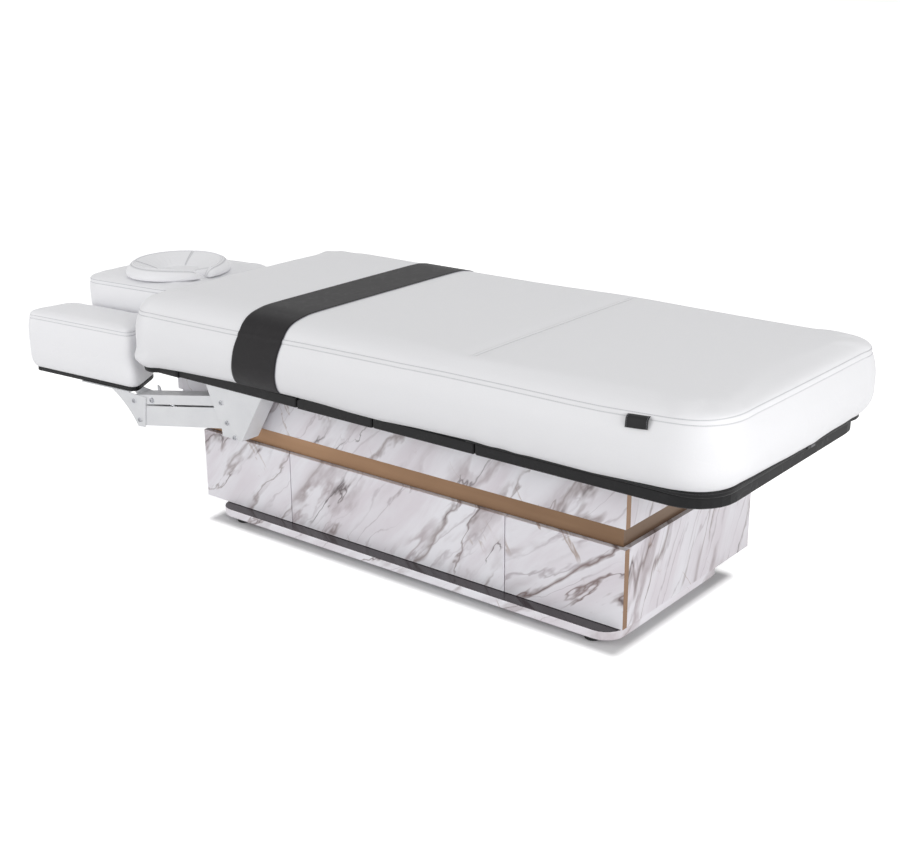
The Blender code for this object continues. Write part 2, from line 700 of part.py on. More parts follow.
def horn(hinge_x, towards, travel, y):
    """The slotted lever that a rod pushes, set back by half the travel, with its link to the frame."""
    hinge_z = BOARD_TOP - HINGE_DEPTH
    lean = -towards * travel / 2
    down = Vector((math.sin(lean), -math.cos(lean)))
    across = Vector((-down.y, down.x))
    hinge = Vector((hinge_x, hinge_z))
    near = PIN_DROP - ROD_PIN - SLOT_PLAY
    far = PIN_DROP / math.cos(travel / 2) + ROD_PIN + SLOT_PLAY
    tip = far + HORN_TIP
    bar_x = hinge_x + towards * (SECTION_END_GAP + CROSSBAR / 2)
    bar_low = BOARD_BOTTOM - TOUCH - SECTION_HEIGHT
    corner = HORN_HALF_WIDTH * math.sin(travel / 2)
    root = (hinge_z - BOARD_BOTTOM + corner) / math.cos(travel / 2) + RUN * 2
    outline = [
        hinge + down * tip - across * HORN_HALF_WIDTH,
        hinge + down * tip + across * HORN_HALF_WIDTH,
        hinge + down * root + across * HORN_HALF_WIDTH,
        hinge + down * root - across * HORN_HALF_WIDTH,
    ]
    half = HORN_THICK / 2
    plate = prism([tuple(p) for p in outline], y - half, y + half, 1)
    arm_half = CROSSBAR / 2
    link_x = sorted((bar_x - towards * arm_half / 2, hinge_x - towards * ROD_PIN * 2))
    link = box((link_x[0], y - half, bar_low), (link_x[1], y + half, bar_low + SECTION_HEIGHT))
    union(plate, link)
    play = ROD_PIN + SLOT_PLAY
    slot = [
        hinge + down * near - across * play,
        hinge + down * near + across * play,
        hinge + down * far + across * play,
        hinge + down * far - across * play,
    ]
    return cut(plate, prism([tuple(p) for p in slot], y - half - OVERRUN, y + half + OVERRUN, 1))


def back_frame(back):
    """The back section's bars, with the headrest's sleeves bored through its crossbars."""
    end = BACK_HINGE_X - SECTION_END_GAP
    parts = section_bars(BACK_FRAME_HEAD, end, (BACK_FRAME_HEAD, MIDDLE_BAR_X, end - CROSSBAR))
    parts += moving_ears(BACK_HINGE_X, -1)
    parts.append(horn(BACK_HINGE_X, -1, BACK_TRAVEL, ACTUATOR_Y))
    frame = union(parts[0], *parts[1:])
    z = headrest_rod_z()
    for side in (-1, 1):
        y = side * HEADREST_ROD_Y
        start = BACK_FRAME_HEAD - OVERRUN
        stop = MIDDLE_BAR_X + CROSSBAR + OVERRUN
        cut(frame, rod((start, y, z), (stop, y, z), HEADREST_ROD + RUN, sides=ROUND_SIDES))
    finish(frame, "back_frame", "grey", back)


def leg_frames(thigh, calf):
    """The thigh and calf sections' bars, hinged to each other under the boards."""
    start = THIGH_HINGE_X + SECTION_END_GAP
    end = CALF_HINGE_X - SECTION_END_GAP
    parts = section_bars(start, end, (start, end - CROSSBAR))
    parts += moving_ears(THIGH_HINGE_X, 1)
    parts.append(horn(THIGH_HINGE_X, 1, THIGH_TRAVEL, -ACTUATOR_Y))
    z = calf_hinge_z()
    low = z - EAR_ROUND
    high = z + EAR_ROUND
    inside = end - OVERRUN
    for side in (-1, 1):
        low_y, high_y = ear_faces(side, 0)
        tail = [(CALF_HINGE_X, low), (inside, low), (inside, high)]
        round_end = arc((CALF_HINGE_X, z), EAR_ROUND, math.pi / 2, -math.pi / 2, EAR_STEPS)
        lug = prism(round_end + tail[1:], low_y, high_y, 1)
        outward = side * (EAR_THICK + RUN + EAR_THICK)
        first = low_y if side > 0 else high_y
        pin = rod((CALF_HINGE_X, first, z), (CALF_HINGE_X, first + outward, z), HINGE_PIN, sides=PIN_SIDES)
        parts += [lug, pin]
        stub = sorted((side * (RAIL_Y - EAR_THICK - RUN), side * SECTION_Y))
        parts.append(box((end - CROSSBAR / 2, stub[0], low), (end, stub[1], high)))
    frame = union(parts[0], *parts[1:])
    finish(frame, "thigh_frame", "grey", thigh)
    start = CALF_HINGE_X + SECTION_END_GAP
    parts = section_bars(start, CALF_FRAME_FOOT, (start, CALF_FRAME_FOOT - CROSSBAR))
    inside = start + OVERRUN
    for side in (-1, 1):
        low_y, high_y = ear_faces(side, 1)
        round_end = arc((CALF_HINGE_X, z), EAR_ROUND, math.pi * 1.5, math.pi / 2, EAR_STEPS)
        lug = prism(round_end + [(inside, high), (inside, low)], low_y, high_y, 1)
        ends = ((CALF_HINGE_X, low_y - OVERRUN, z), (CALF_HINGE_X, high_y + OVERRUN, z))
        parts.append(cut(lug, rod(*ends, HINGE_PIN + PIN_PLAY, sides=PIN_SIDES)))
    frame = union(parts[0], *parts[1:])
    finish(frame, "calf_frame", "grey", calf)


def calf_hinge_z():
    """The calf hinge lies in the bars' middle, below the boards, because the knee folds upwards."""
    return BOARD_BOTTOM - TOUCH - SECTION_HEIGHT / 2


def fold_bevel(slab, hinge_x, towards, travel):
    """Bevels the top edge of the board beside a hinge, so that the folded section's end face clears it."""
    hinge_z = BOARD_TOP - HINGE_DEPTH
    lean = math.tan(travel)
    low = hinge_z - OVERRUN
    high = BOARD_TOP + OVERRUN
    low_x = hinge_x + towards * (FOLD_PLAY + (low - hinge_z) * lean)
    high_x = hinge_x + towards * (FOLD_PLAY + (high - hinge_z) * lean)
    half = BOARD_WIDTH / 2 + OVERRUN
    return cut(slab, prism([(low_x, low), (high_x, high), (low_x, high)], -half, half, 1))


def board(name, low_x, high_x, corners, notches, pivot, bevels=()):
    """One upholstered board of the top, notched round the hinge ears that rise through it."""
    half = BOARD_WIDTH / 2
    slab = prism(rounded((low_x, -half), (high_x, half), corners, steps=7), BOARD_BOTTOM, BOARD_TOP, 2)
    for x in notches:
        for side in (-1, 1):
            low_y = ear_faces(side, 0)[0] if side > 0 else ear_faces(side, 1)[0]
            high_y = ear_faces(side, 1)[1] if side > 0 else ear_faces(side, 0)[1]
            cutter = box(
                (x - NOTCH_HALF_LENGTH, low_y - NOTCH_MARGIN, BOARD_BOTTOM - OVERRUN),
                (x + NOTCH_HALF_LENGTH, high_y + NOTCH_MARGIN, BOARD_TOP + OVERRUN),
            )
            cut(slab, cutter)
    for hinge_x, towards, travel in bevels:
        fold_bevel(slab, hinge_x, towards, travel)
    edge_round(slab, BOARD_EDGE_ROUND / 2, segments=1, angle=BOARD_EDGE_ANGLE)
    finish(slab, name, "black", pivot)


def boards(back, top, thigh, calf):
    """The four board sections."""
    square = BOARD_EDGE_ROUND
    gap = BOARD_GAP / 2
    head = [BOARD_CORNER, square, square, BOARD_CORNER]
    foot = [square, BOARD_CORNER, BOARD_CORNER, square]
    plain = [square] * 4
    hinges = (BACK_HINGE_X, THIGH_HINGE_X)
    bevels = ((BACK_HINGE_X, 1, BACK_TRAVEL), (THIGH_HINGE_X, -1, THIGH_TRAVEL))
    board("board_back", BOARD_HEAD, BACK_HINGE_X - gap, head, hinges[:1], back)
    board("board_seat", BACK_HINGE_X + gap, THIGH_HINGE_X - gap, plain, hinges, top, bevels)
    board("board_thigh", THIGH_HINGE_X + gap, CALF_HINGE_X - gap, plain, hinges[1:], thigh)
    board("board_calf", CALF_HINGE_X + gap, BOARD_FOOT, foot, (), calf)


def ring_solid(rings, name):
    """A closed skin through rings of equally many points, from bottom to top, with flat ends."""
    bm = bmesh.new()
    rows = [[bm.verts.new(point) for point in ring] for ring in rings]
    count = len(rows[0])
    for low, high in zip(rows, rows[1:]):
        for i in range(count):
            j = (i + 1) % count
            bm.faces.new((low[i], low[j], high[j], high[i]))
    bm.faces.new(rows[0][::-1])
    bm.faces.new(rows[-1])
    return new_object(name, bm)


def cushion_rings(low, high, radii, profile, steps):
    """Plan outlines drawn in by each (inset, height) of the profile; a height may be a function of x."""
    rings = []
    for inset, height in profile:
        ring = rounded(
            (low[0] + inset, low[1] + inset),
            (high[0] - inset, high[1] - inset),
            [max(radius - inset, radius / 4) for radius in radii],
            steps,
        )
        rings.append([(x, y, height(x) if callable(height) else height) for x, y in ring])
    return rings


def mattress_profile():
    """From the board up: tucked side, bulge, two sewn lines (lower at the head end), rounded shoulder."""
    def stitch(drop):
        def height(x):
            share = (FOOT_END - x) / MATTRESS_LENGTH
            return CROWN - STITCH_DROP - drop - HEAD_DROP * share
        return height

    floor = BOARD_TOP + TOUCH
    middle = floor + MATTRESS_THICK / 2
    return [
        (SIDE_TUCK, floor),
        (-SIDE_BULGE / 4, middle - MATTRESS_THICK / 4),
        (-SIDE_BULGE, middle),
        (SIDE_TUCK / 16, stitch(STITCH_PITCH + STITCH_SINK)),
        (SIDE_TUCK / 16 + STITCH_SINK, stitch(STITCH_PITCH)),
        (SIDE_TUCK / 16, stitch(STITCH_PITCH - STITCH_SINK)),
        (SIDE_TUCK / 8, stitch(STITCH_SINK)),
        (SIDE_TUCK / 8 + STITCH_SINK, stitch(0.0)),
        (SIDE_TUCK / 4, stitch(-STITCH_SINK)),
        (SHOULDER / 3, CROWN - STITCH_SINK * 4),
        (SHOULDER * 2 / 3, CROWN - STITCH_SINK),
        (SHOULDER, CROWN),
    ]


def slice_between(body, low_x, high_x):
    """Keeps the stretch of a body between two X planes, closed at the cuts."""
    bm = bmesh.new()
    bm.from_mesh(body.data)
    for x, normal in ((low_x, (-1, 0, 0)), (high_x, (1, 0, 0))):
        if x is None:
            continue
        plane = {"plane_co": (x, 0, 0), "plane_no": normal, "clear_outer": True}
        result = bmesh.ops.bisect_plane(bm, geom=bm.verts[:] + bm.edges[:] + bm.faces[:], **plane)
        edges = [e for e in result["geom_cut"] if isinstance(e, bmesh.types.BMEdge)]
        bmesh.ops.edgeloop_fill(bm, edges=edges)
    bmesh.ops.triangulate(bm, faces=[f for f in bm.faces if len(f.verts) > 4])
    return new_object("slice", bm)


def cross_seam(body):
    """The sewn channel across the mattress, cut along its shoulder, crown and sides."""
    half = MATTRESS_WIDTH / 2
    points = []
    for inset, height in mattress_profile()[7:]:
        z = height(CROSS_SEAM_X) if callable(height) else height
        points.append((half - inset, z))
    path = [(-y, z) for y, z in points] + points[::-1]
    curve = bpy.data.curves.new("seam", "CURVE")
    curve.dimensions = "3D"
    curve.bevel_depth = CROSS_SEAM_RADIUS
    curve.bevel_resolution = 1
    curve.use_fill_caps = True
    spline = curve.splines.new("POLY")
    spline.points.add(len(path) - 1)
    for point, (y, z) in zip(spline.points, path):
        point.co = (CROSS_SEAM_X, y, z, 1.0)
    guide = bpy.data.objects.new("seam", curve)
    bpy.context.scene.collection.objects.link(guide)
    graph = bpy.context.evaluated_depsgraph_get()
    bm = bmesh.new()
    bm.from_mesh(bpy.data.meshes.new_from_object(guide.evaluated_get(graph)))
    bmesh.ops.remove_doubles(bm, verts=bm.verts, dist=CROSS_SEAM_RADIUS / 100)
    bpy.data.objects.remove(guide)
    return cut(body, new_object("seam_cutter", bm))


def mattress(back, top, thigh, calf):
    """The mattress, parted at the hinges of the boards under it."""
    half = MATTRESS_WIDTH / 2
    radii = [MATTRESS_HEAD_CORNER, MATTRESS_FOOT_CORNER, MATTRESS_FOOT_CORNER, MATTRESS_HEAD_CORNER]
    whole = ring_solid(
        cushion_rings((MATTRESS_HEAD, -half), (FOOT_END, half), radii, mattress_profile(), 9),
        "mattress",
    )
    gap = PAD_GAP / 2
    pieces = (
        ("pad_back", None, BACK_HINGE_X - gap, back),
        ("pad_seat", BACK_HINGE_X + gap, THIGH_HINGE_X - gap, top),
        ("pad_thigh", THIGH_HINGE_X + gap, CALF_HINGE_X - gap, thigh),
        ("pad_calf", CALF_HINGE_X + gap, None, calf),
    )
    for name, low_x, high_x, pivot in pieces:
        piece = slice_between(whole, low_x, high_x)
        if name == "pad_thigh":
            cross_seam(piece)
        finish(piece, name, "white", pivot)
    bpy.data.objects.remove(whole)


def actuator(name, hinge_x, towards, travel, y, top, rod_pivot):
    """A fixed housing and its rod, whose forked end carries the pin in the horn's slot."""
    z = BOARD_TOP - HINGE_DEPTH - PIN_DROP
    pin_x = hinge_x - towards * PIN_DROP * math.tan(travel / 2)
    nose = pin_x - towards * ACTUATOR_NOSE
    tail = nose - towards * ACTUATOR_LENGTH
    half = ACTUATOR_SIDE / 2
    low_x, high_x = sorted((nose, tail))
    outline = rounded((y - half, z - half), (y + half, z + half), [half / 4] * 4, steps=2)
    housing = prism(outline, low_x, high_x, 0)
    bore_end = pin_x - towards * (ROD_HIDDEN + OVERRUN)
    bore = rod((nose + towards * OVERRUN, y, z), (bore_end, y, z), ROD_RADIUS + RUN, sides=ROUND_SIDES)
    cut(housing, bore)
    finish(housing, f"{name}_actuator", "black", top)
    clear = HORN_HALF_WIDTH / math.cos(travel / 2) + ROD_RADIUS * math.tan(travel / 2) + SLOT_PLAY
    fork_start = pin_x - towards * (clear + FORK_CHEEK)
    shaft_start = (fork_start + towards * FORK_CHEEK / 2, y, z)
    shaft = rod(shaft_start, (pin_x - towards * ROD_HIDDEN, y, z), ROD_RADIUS, sides=ROUND_SIDES)
    slot_half = HORN_THICK / 2 + RUN
    cheek_out = slot_half + FORK_CHEEK
    fork_ends = sorted((fork_start, pin_x + towards * ROD_RADIUS))
    fork = box((fork_ends[0], y - cheek_out, z - ROD_RADIUS), (fork_ends[1], y + cheek_out, z + ROD_RADIUS))
    gap_ends = sorted((pin_x - towards * clear, pin_x + towards * (ROD_RADIUS + OVERRUN)))
    gap = box(
        (gap_ends[0], y - slot_half, z - ROD_RADIUS - OVERRUN),
        (gap_ends[1], y + slot_half, z + ROD_RADIUS + OVERRUN),
    )
    cut(fork, gap)
    pin = rod((pin_x, y - cheek_out, z), (pin_x, y + cheek_out, z), ROD_PIN, sides=ROUND_SIDES)
    union(shaft, fork, pin)
    finish(shaft, f"{name}_actuator_rod", "steel", rod_pivot)


def headrest_rod_z():
    """The rods run just over the frieze's top edge, against the back board."""
    return BOARD_BOTTOM - TOUCH - RUN - HEADREST_ROD


def headrest(slide, head):
    """Two rods and an upright bracket that slide; a hinged board, its pad and the horseshoe cushion."""
    z = headrest_rod_z()
    hinge = (HEADREST_HINGE_X, HEADREST_HINGE_Z)
    half_width = BRACKET_WIDTH / 2
    start = HEADREST_HINGE_X - BRACKET_THICK / 2
    rod_low = z - HEADREST_ROD
    shoulder = HEADREST_HINGE_Z - KNUCKLE - OVERRUN
    plate = [(half_width, rod_low - OVERRUN), (half_width, shoulder)]
    plate += [(KNUCKLE_HALF, shoulder), (KNUCKLE_HALF, HEADREST_HINGE_Z)]
    plate += [(-y, height) for y, height in plate[::-1]]
    upright = prism(plate, start, start + BRACKET_THICK, 0)
    inner = start + BRACKET_THICK / 2
    parts = []
    for side in (-1, 1):
        y = side * HEADREST_ROD_Y
        parts.append(rod((inner, y, z), (HEADREST_ROD_INNER, y, z), HEADREST_ROD))
    stop_x = HEADREST_ROD_INNER - HEADREST_STOP
    stop_half = HEADREST_ROD_Y + HEADREST_ROD
    stop_end = HEADREST_ROD_INNER + OVERRUN
    stop_top = z + HEADREST_ROD + RUN / 2
    parts.append(box((stop_x, -stop_half, rod_low - RUN / 2), (stop_end, stop_half, stop_top)))
    parts.append(rod((hinge[0], -KNUCKLE_HALF, hinge[1]), (hinge[0], KNUCKLE_HALF, hinge[1]), KNUCKLE, ROUND_SIDES))
    reach = KNUCKLE_HALF + RUN + EAR_LONG
    parts.append(rod((hinge[0], -reach, hinge[1]), (hinge[0], reach, hinge[1]), HINGE_PIN, PIN_SIDES))
    union(upright, *parts)
    finish(upright, "headrest_slide", "steel", slide)

    board_low = HEADREST_HINGE_Z + HEADREST_EAR_GAP
    board_top = board_low + HEADREST_BOARD
    inset = HEADREST_BOARD_INSET
    half = HEADREST_WIDTH / 2
    low_x = HEADREST_HINGE_X - HEADREST_LENGTH
    plan = rounded(
        (low_x + inset, inset - half),
        (HEADREST_HINGE_X - inset / 2, half - inset),
        [HEADREST_CORNER - inset] * 4,
    )
    base = prism(plan, board_low, board_top, 2)
    ears = []
    for side in (-1, 1):
        faces = sorted((side * (KNUCKLE_HALF + RUN), side * (KNUCKLE_HALF + RUN + EAR_LONG / 2)))
        root = hinge[0] - KNUCKLE * 3
        neck_top = board_low + OVERRUN / 2
        outline = arc(hinge, KNUCKLE, 0.0, -math.pi, EAR_STEPS) + [(root, neck_top), (hinge[0], neck_top)]
        lug = prism(outline, faces[0], faces[1], 1)
        ends = ((hinge[0], faces[0] - OVERRUN, hinge[1]), (hinge[0], faces[1] + OVERRUN, hinge[1]))
        ears.append(cut(lug, rod(*ends, HINGE_PIN + PIN_PLAY, PIN_SIDES)))
    union(base, *ears)
    finish(base, "headrest_board", "black", head, -HEADREST_DROOP)

    top = board_top + TOUCH
    tuck = SIDE_TUCK / 2
    profile = [
        (tuck, top),
        (0.0, top + HEADREST_THICK / 2),
        (tuck / 4, top + HEADREST_THICK - STITCH_PITCH - STITCH_SINK),
        (tuck / 4 + STITCH_SINK, top + HEADREST_THICK - STITCH_PITCH),
        (tuck / 4, top + HEADREST_THICK - STITCH_PITCH + STITCH_SINK),
        (SHOULDER / 3, top + HEADREST_THICK - STITCH_SINK),
        (SHOULDER, top + HEADREST_THICK),
    ]
    rings = cushion_rings((low_x, -half), (HEADREST_HINGE_X, half), [HEADREST_CORNER] * 4, profile, 7)
    finish(ring_solid(rings, "headrest_pad"), "headrest_pad", "white", head, -HEADREST_DROOP)
    face_cushion(top + HEADREST_THICK + TOUCH, head)


def face_cushion(floor, head):
    """A horseshoe of padding, open towards the mattress, its round section flattened where it rests."""
    radius = CUSHION_OUTER - CUSHION_BAND / 2
    turn_x = CUSHION_HEAD_X + CUSHION_OUTER
    leg = CUSHION_FOOT_X - turn_x
    leg_steps = CUSHION_LEG_STEPS
    path = [(turn_x + leg * (1 - i / leg_steps), -radius, (-1.0, 0.0)) for i in range(leg_steps)]
    turn = [i / CUSHION_BEND_STEPS for i in range(CUSHION_BEND_STEPS + 1)]
    bend = [math.pi * (3 / 2 - share) for share in turn]
    for a in bend:
        path.append((turn_x + radius * math.cos(a), radius * math.sin(a), (math.sin(a), -math.cos(a))))
    path += [(turn_x + leg * (i + 1) / leg_steps, radius, (1.0, 0.0)) for i in range(leg_steps)]
    sides = CUSHION_SIDES
    bm = bmesh.new()
    rows = []
    for i, (x, y, way) in enumerate(path):
        from_end = min(i, len(path) - 1 - i) / leg_steps
        swell = math.sqrt(1 - (1 - min(from_end * 2, 1.0)) ** 2) * 0.5 + 0.5
        row = []
        for k in range(sides):
            angle = math.tau * k / sides
            across = math.cos(angle) * CUSHION_BAND / 2 * swell
            up = CUSHION_HEIGHT * (CUSHION_SEAT + (1 - CUSHION_SEAT) * math.sin(angle)) * swell
            row.append(bm.verts.new((x - way[1] * across, y + way[0] * across, floor + max(up, 0.0))))
        rows.append(row)
    for first, second in zip(rows, rows[1:]):
        for k in range(sides):
            m = (k + 1) % sides
            bm.faces.new((first[k], first[m], second[m], second[k]))
    bm.faces.new(rows[0][::-1])
    bm.faces.new(rows[-1])
    finish(new_object("face_cushion", bm), "face_cushion", "white", head, -HEADREST_DROOP)


def on_arm(pivot, along, above):
    """A place on an arm at rest: so far along it towards the head, so far above its pivots' line."""
    along_x, along_z = -math.cos(ARM_SLOPE), -math.sin(ARM_SLOPE)
    return (pivot[0] + along * along_x - above * -along_z, pivot[1] + along * along_z + above * -along_x)


def sided(side, low, high):
    """A Y range, given by its distances from the middle, on one side of the table."""
    return sorted((side * low, side * high))


def across(side, place, low, high, radius, sides=16):
    """A round bar or cutter across the linkage at an (x, z) place."""
    low_y, high_y = sided(side, low, high)
    return rod((place[0], low_y, place[1]), (place[0], high_y, place[1]), radius, sides)


def arm_pin(side, place):
    """A pivot pin from plate to plate, with a domed head outside."""
    pin = across(side, place, ARM_INNER, ARM_OUTER, ARM_PIN)
    head = across(side, place, ARM_OUTER - ARM_SHEET / 2, ARM_OUTER + ARM_PIN_PROUD, ARM_PIN_HEAD)
    return [pin, head]


def armrest_frame(side, name, back):
    """The folded plate under the back board: two cheeks, a top flange, a web along their slanted edge."""
    low_y, high_y = sided(side, ARM_INNER, ARM_OUTER)
    outline = [from_board((x, z - TOUCH if z == 0.0 else z)) for x, z in FRAME_OFFSETS]
    plate = prism(outline, low_y, high_y, 1)
    edge = Vector(outline[1]) - Vector(outline[2])
    outward = Vector((edge.y, -edge.x)).normalized()
    drop = -ARM_SHEET
    shift = (-ARM_SHEET - drop * outward.y) / outward.x
    inside = [(x + shift, z + drop) for x, z in outline[:3]]
    inside += [(x - OVERRUN, z - OVERRUN) for x, z in outline[3:]]
    inside[0] = (inside[0][0] - OVERRUN * 3, inside[0][1])
    inner_low, inner_high = sided(side, ARM_INNER + ARM_SHEET, ARM_OUTER - ARM_SHEET)
    cut(plate, prism(inside, inner_low, inner_high, 1))
    pins = [part for place in (PIVOT_A, PIVOT_B, STRUT_FOOT) for part in arm_pin(side, place)]
    union(plate, *pins)
    finish(plate, f"arm_frame_{name}", "grey", back)


def arm_channel(side, pivot, outline, hollow, holes):
    """A folded channel between the frame's cheeks, bored for its pins."""
    low = ARM_INNER + ARM_SHEET + RUN
    high = ARM_OUTER - ARM_SHEET - RUN
    low_y, high_y = sided(side, low, high)
    channel = prism([on_arm(pivot, *p) for p in outline], low_y, high_y, 1)
    inner_low, inner_high = sided(side, low + ARM_SHEET, high - ARM_SHEET)
    cut(channel, prism([on_arm(pivot, *p) for p in hollow], inner_low, inner_high, 1))
    ends = (low - OVERRUN, high + OVERRUN)
    bores = [across(side, on_arm(pivot, *p), *ends, ARM_PIN + PIN_PLAY, PIN_SIDES) for p in holes]
    return cut(channel, *bores)


def upper_arm(side, name, pivot_object):
    """The upper arm: a channel open below, which carries the strut's head pin."""
    end = ARM_LENGTH + ARM_TAIL
    outline = arc((end - UPPER_TOP, 0.0), UPPER_TOP, 0.0, math.pi / 2, 6)
    outline += [(-ARM_TAIL, UPPER_TOP), (-ARM_TAIL, -UPPER_BOTTOM), (end - UPPER_BOTTOM / 2, -UPPER_BOTTOM)]
    hollow = [
        (-ARM_TAIL - OVERRUN, -UPPER_BOTTOM - OVERRUN),
        (end + OVERRUN, -UPPER_BOTTOM - OVERRUN),
        (end + OVERRUN, UPPER_TOP - ARM_SHEET),
        (-ARM_TAIL - OVERRUN, UPPER_TOP - ARM_SHEET),
    ]
    channel = arm_channel(side, PIVOT_A, outline, hollow, ((0.0, 0.0), (ARM_LENGTH, 0.0)))
    place = on_arm(PIVOT_A, STRUT_HEAD_ALONG, -STRUT_HEAD_DROP)
    low = ARM_INNER + ARM_SHEET + RUN
    high = ARM_OUTER - ARM_SHEET - RUN
    union(channel, across(side, place, low, high, ARM_PIN))
    finish(channel, f"upper_arm_{name}", "grey", pivot_object)


def lower_arm(side, name, pivot_object):
    """The lower arm: a deep channel open above, its web cut back where the strut comes in from below."""
    end = ARM_LENGTH + ARM_TAIL
    outline = [
        (-ARM_TAIL, LOWER_TOP_EDGE),
        (-ARM_TAIL, -LOWER_BOTTOM_EDGE),
        (end - LOWER_BOTTOM_EDGE / 2, -LOWER_BOTTOM_EDGE),
        (end, -LOWER_BOTTOM_EDGE / 2),
        (end, LOWER_TOP_EDGE),
    ]
    floor = -LOWER_BOTTOM_EDGE + ARM_SHEET
    hollow = [
        (-ARM_TAIL - OVERRUN, LOWER_TOP_EDGE + OVERRUN),
        (-ARM_TAIL - OVERRUN, -LOWER_BOTTOM_EDGE - OVERRUN),
        (LOWER_WEB_START, -LOWER_BOTTOM_EDGE - OVERRUN),
        (LOWER_WEB_START, floor),
        (end + OVERRUN, floor),
        (end + OVERRUN, LOWER_TOP_EDGE + OVERRUN),
    ]
    channel = arm_channel(side, PIVOT_B, outline, hollow, ((0.0, 0.0), (ARM_LENGTH, 0.0)))
    finish(channel, f"lower_arm_{name}", "grey", pivot_object)


def gusset(side, name, pivot_object):
    """The bracket that the arms keep level: two curved cheeks under a flange that carries the pad's board."""
    low = from_board(GUSSET_LOW_OFFSET)
    high = from_board(GUSSET_HIGH_OFFSET)
    fin_top = from_board(GUSSET_FIN_OFFSET)
    tip_x = BOARD_HEAD + GUSSET_TIP_OFFSET
    flange_x = BOARD_HEAD + FLANGE_TIP_OFFSET
    end_x = BOARD_HEAD + FLANGE_END_OFFSET
    half_sheet = FLANGE_SHEET / 2
    tip = (tip_x, armrest_underside(tip_x) - half_sheet)
    joint = (end_x, armrest_underside(end_x) - half_sheet)
    curve = bezier(tip, from_board(GUSSET_HOLLOW_OFFSET), from_board(GUSSET_FOOT_OFFSET), 8)
    cheek = curve + [low, high, joint]
    low_y, high_y = sided(side, ARM_OUTER - ARM_SHEET, ARM_OUTER)
    parts = [prism(cheek, low_y, high_y, 1)]
    low_y, high_y = sided(side, ARM_INNER, ARM_INNER + ARM_SHEET)
    fin_round = bezier(high, (high[0], fin_top[1]), fin_top, 5)
    fin = curve + [low] + fin_round + [(fin_top[0], high[1] - FLANGE_SHEET), joint]
    parts.append(prism(fin, low_y, high_y, 1))
    low_y, high_y = sided(side, ARM_INNER + ARM_SHEET / 2, ARM_OUTER - ARM_SHEET / 2)
    flange = [
        (flange_x, armrest_underside(flange_x)),
        (end_x, armrest_underside(end_x)),
        (end_x, armrest_underside(end_x) - FLANGE_SHEET),
        (flange_x, armrest_underside(flange_x) - FLANGE_SHEET),
    ]
    parts.append(prism(flange, low_y, high_y, 1))
    for along, pivot in ((ARM_LENGTH, PIVOT_A), (ARM_LENGTH, PIVOT_B)):
        parts += arm_pin(side, on_arm(pivot, along, 0.0))
    bracket = union(parts[0], *parts[1:])
    finish(bracket, f"gusset_{name}", "grey", pivot_object)


def armrest_underside(x):
    """The height of the underside of the armrest's board at x, less the gap of a resting face."""
    middle = (ARMREST_HEAD_X + ARMREST_FOOT_X) / 2
    board_low = BOARD_BOTTOM - ARMREST_DROP - (ARMREST_BOARD + TOUCH) / math.cos(ARMREST_TILT)
    return board_low + (x - middle) * math.tan(ARMREST_TILT)


def slanted_x(x, y):
    """Draws both ends in towards the inner side of the armrest, most at the ends and not at all at the middle."""
    middle = (ARMREST_HEAD_X + ARMREST_FOOT_X) / 2
    inward = (ARMREST_OUTER_Y - abs(y)) / (ARMREST_OUTER_Y - ARMREST_INNER_Y)
    share = (x - middle) * 2 / ARMREST_LENGTH
    slant = ARMREST_FOOT_SLANT if share > 0 else ARMREST_HEAD_SLANT
    return x - slant * inward * share


def armrest_pad(side, name, pivot_object):
    """The armrest's padding on its thin board, lower towards the head end."""
    inset = ARMREST_BOARD_INSET
    low = (ARMREST_HEAD_X, min(side * ARMREST_INNER_Y, side * ARMREST_OUTER_Y))
    high = (ARMREST_FOOT_X, max(side * ARMREST_INNER_Y, side * ARMREST_OUTER_Y))
    floor = 0.0
    top = ARMREST_THICK
    seam = top - ARMREST_CROWN - STITCH_PITCH
    profile = [
        (inset, floor - ARMREST_BOARD),
        (inset, floor),
        (inset / 2, floor + STITCH_SINK * 2),
        (-ARMREST_BULGE, floor + ARMREST_THICK / 2),
        (inset / 4, seam - STITCH_SINK),
        (inset / 4 + STITCH_SINK, seam),
        (inset / 4, seam + STITCH_SINK),
        (ARMREST_CORNER / 4, seam + STITCH_PITCH),
        (ARMREST_CORNER * 3 / 4, top),
    ]
    rings = cushion_rings(low, high, [ARMREST_CORNER] * 4, profile, 6)
    middle = (ARMREST_HEAD_X + ARMREST_FOOT_X) / 2
    rings = [[(slanted_x(x, y), y, z) for x, y, z in ring] for ring in rings]
    pad = ring_solid(rings, "armrest")
    place = Vector((middle, 0.0, BOARD_BOTTOM - ARMREST_DROP))
    tilt = Matrix.Rotation(-ARMREST_TILT, 4, "Y")
    pad.data.transform(Matrix.Translation(place) @ tilt @ Matrix.Translation((-middle, 0.0, 0.0)))
    finish(pad, f"armrest_pad_{name}", "white", pivot_object)


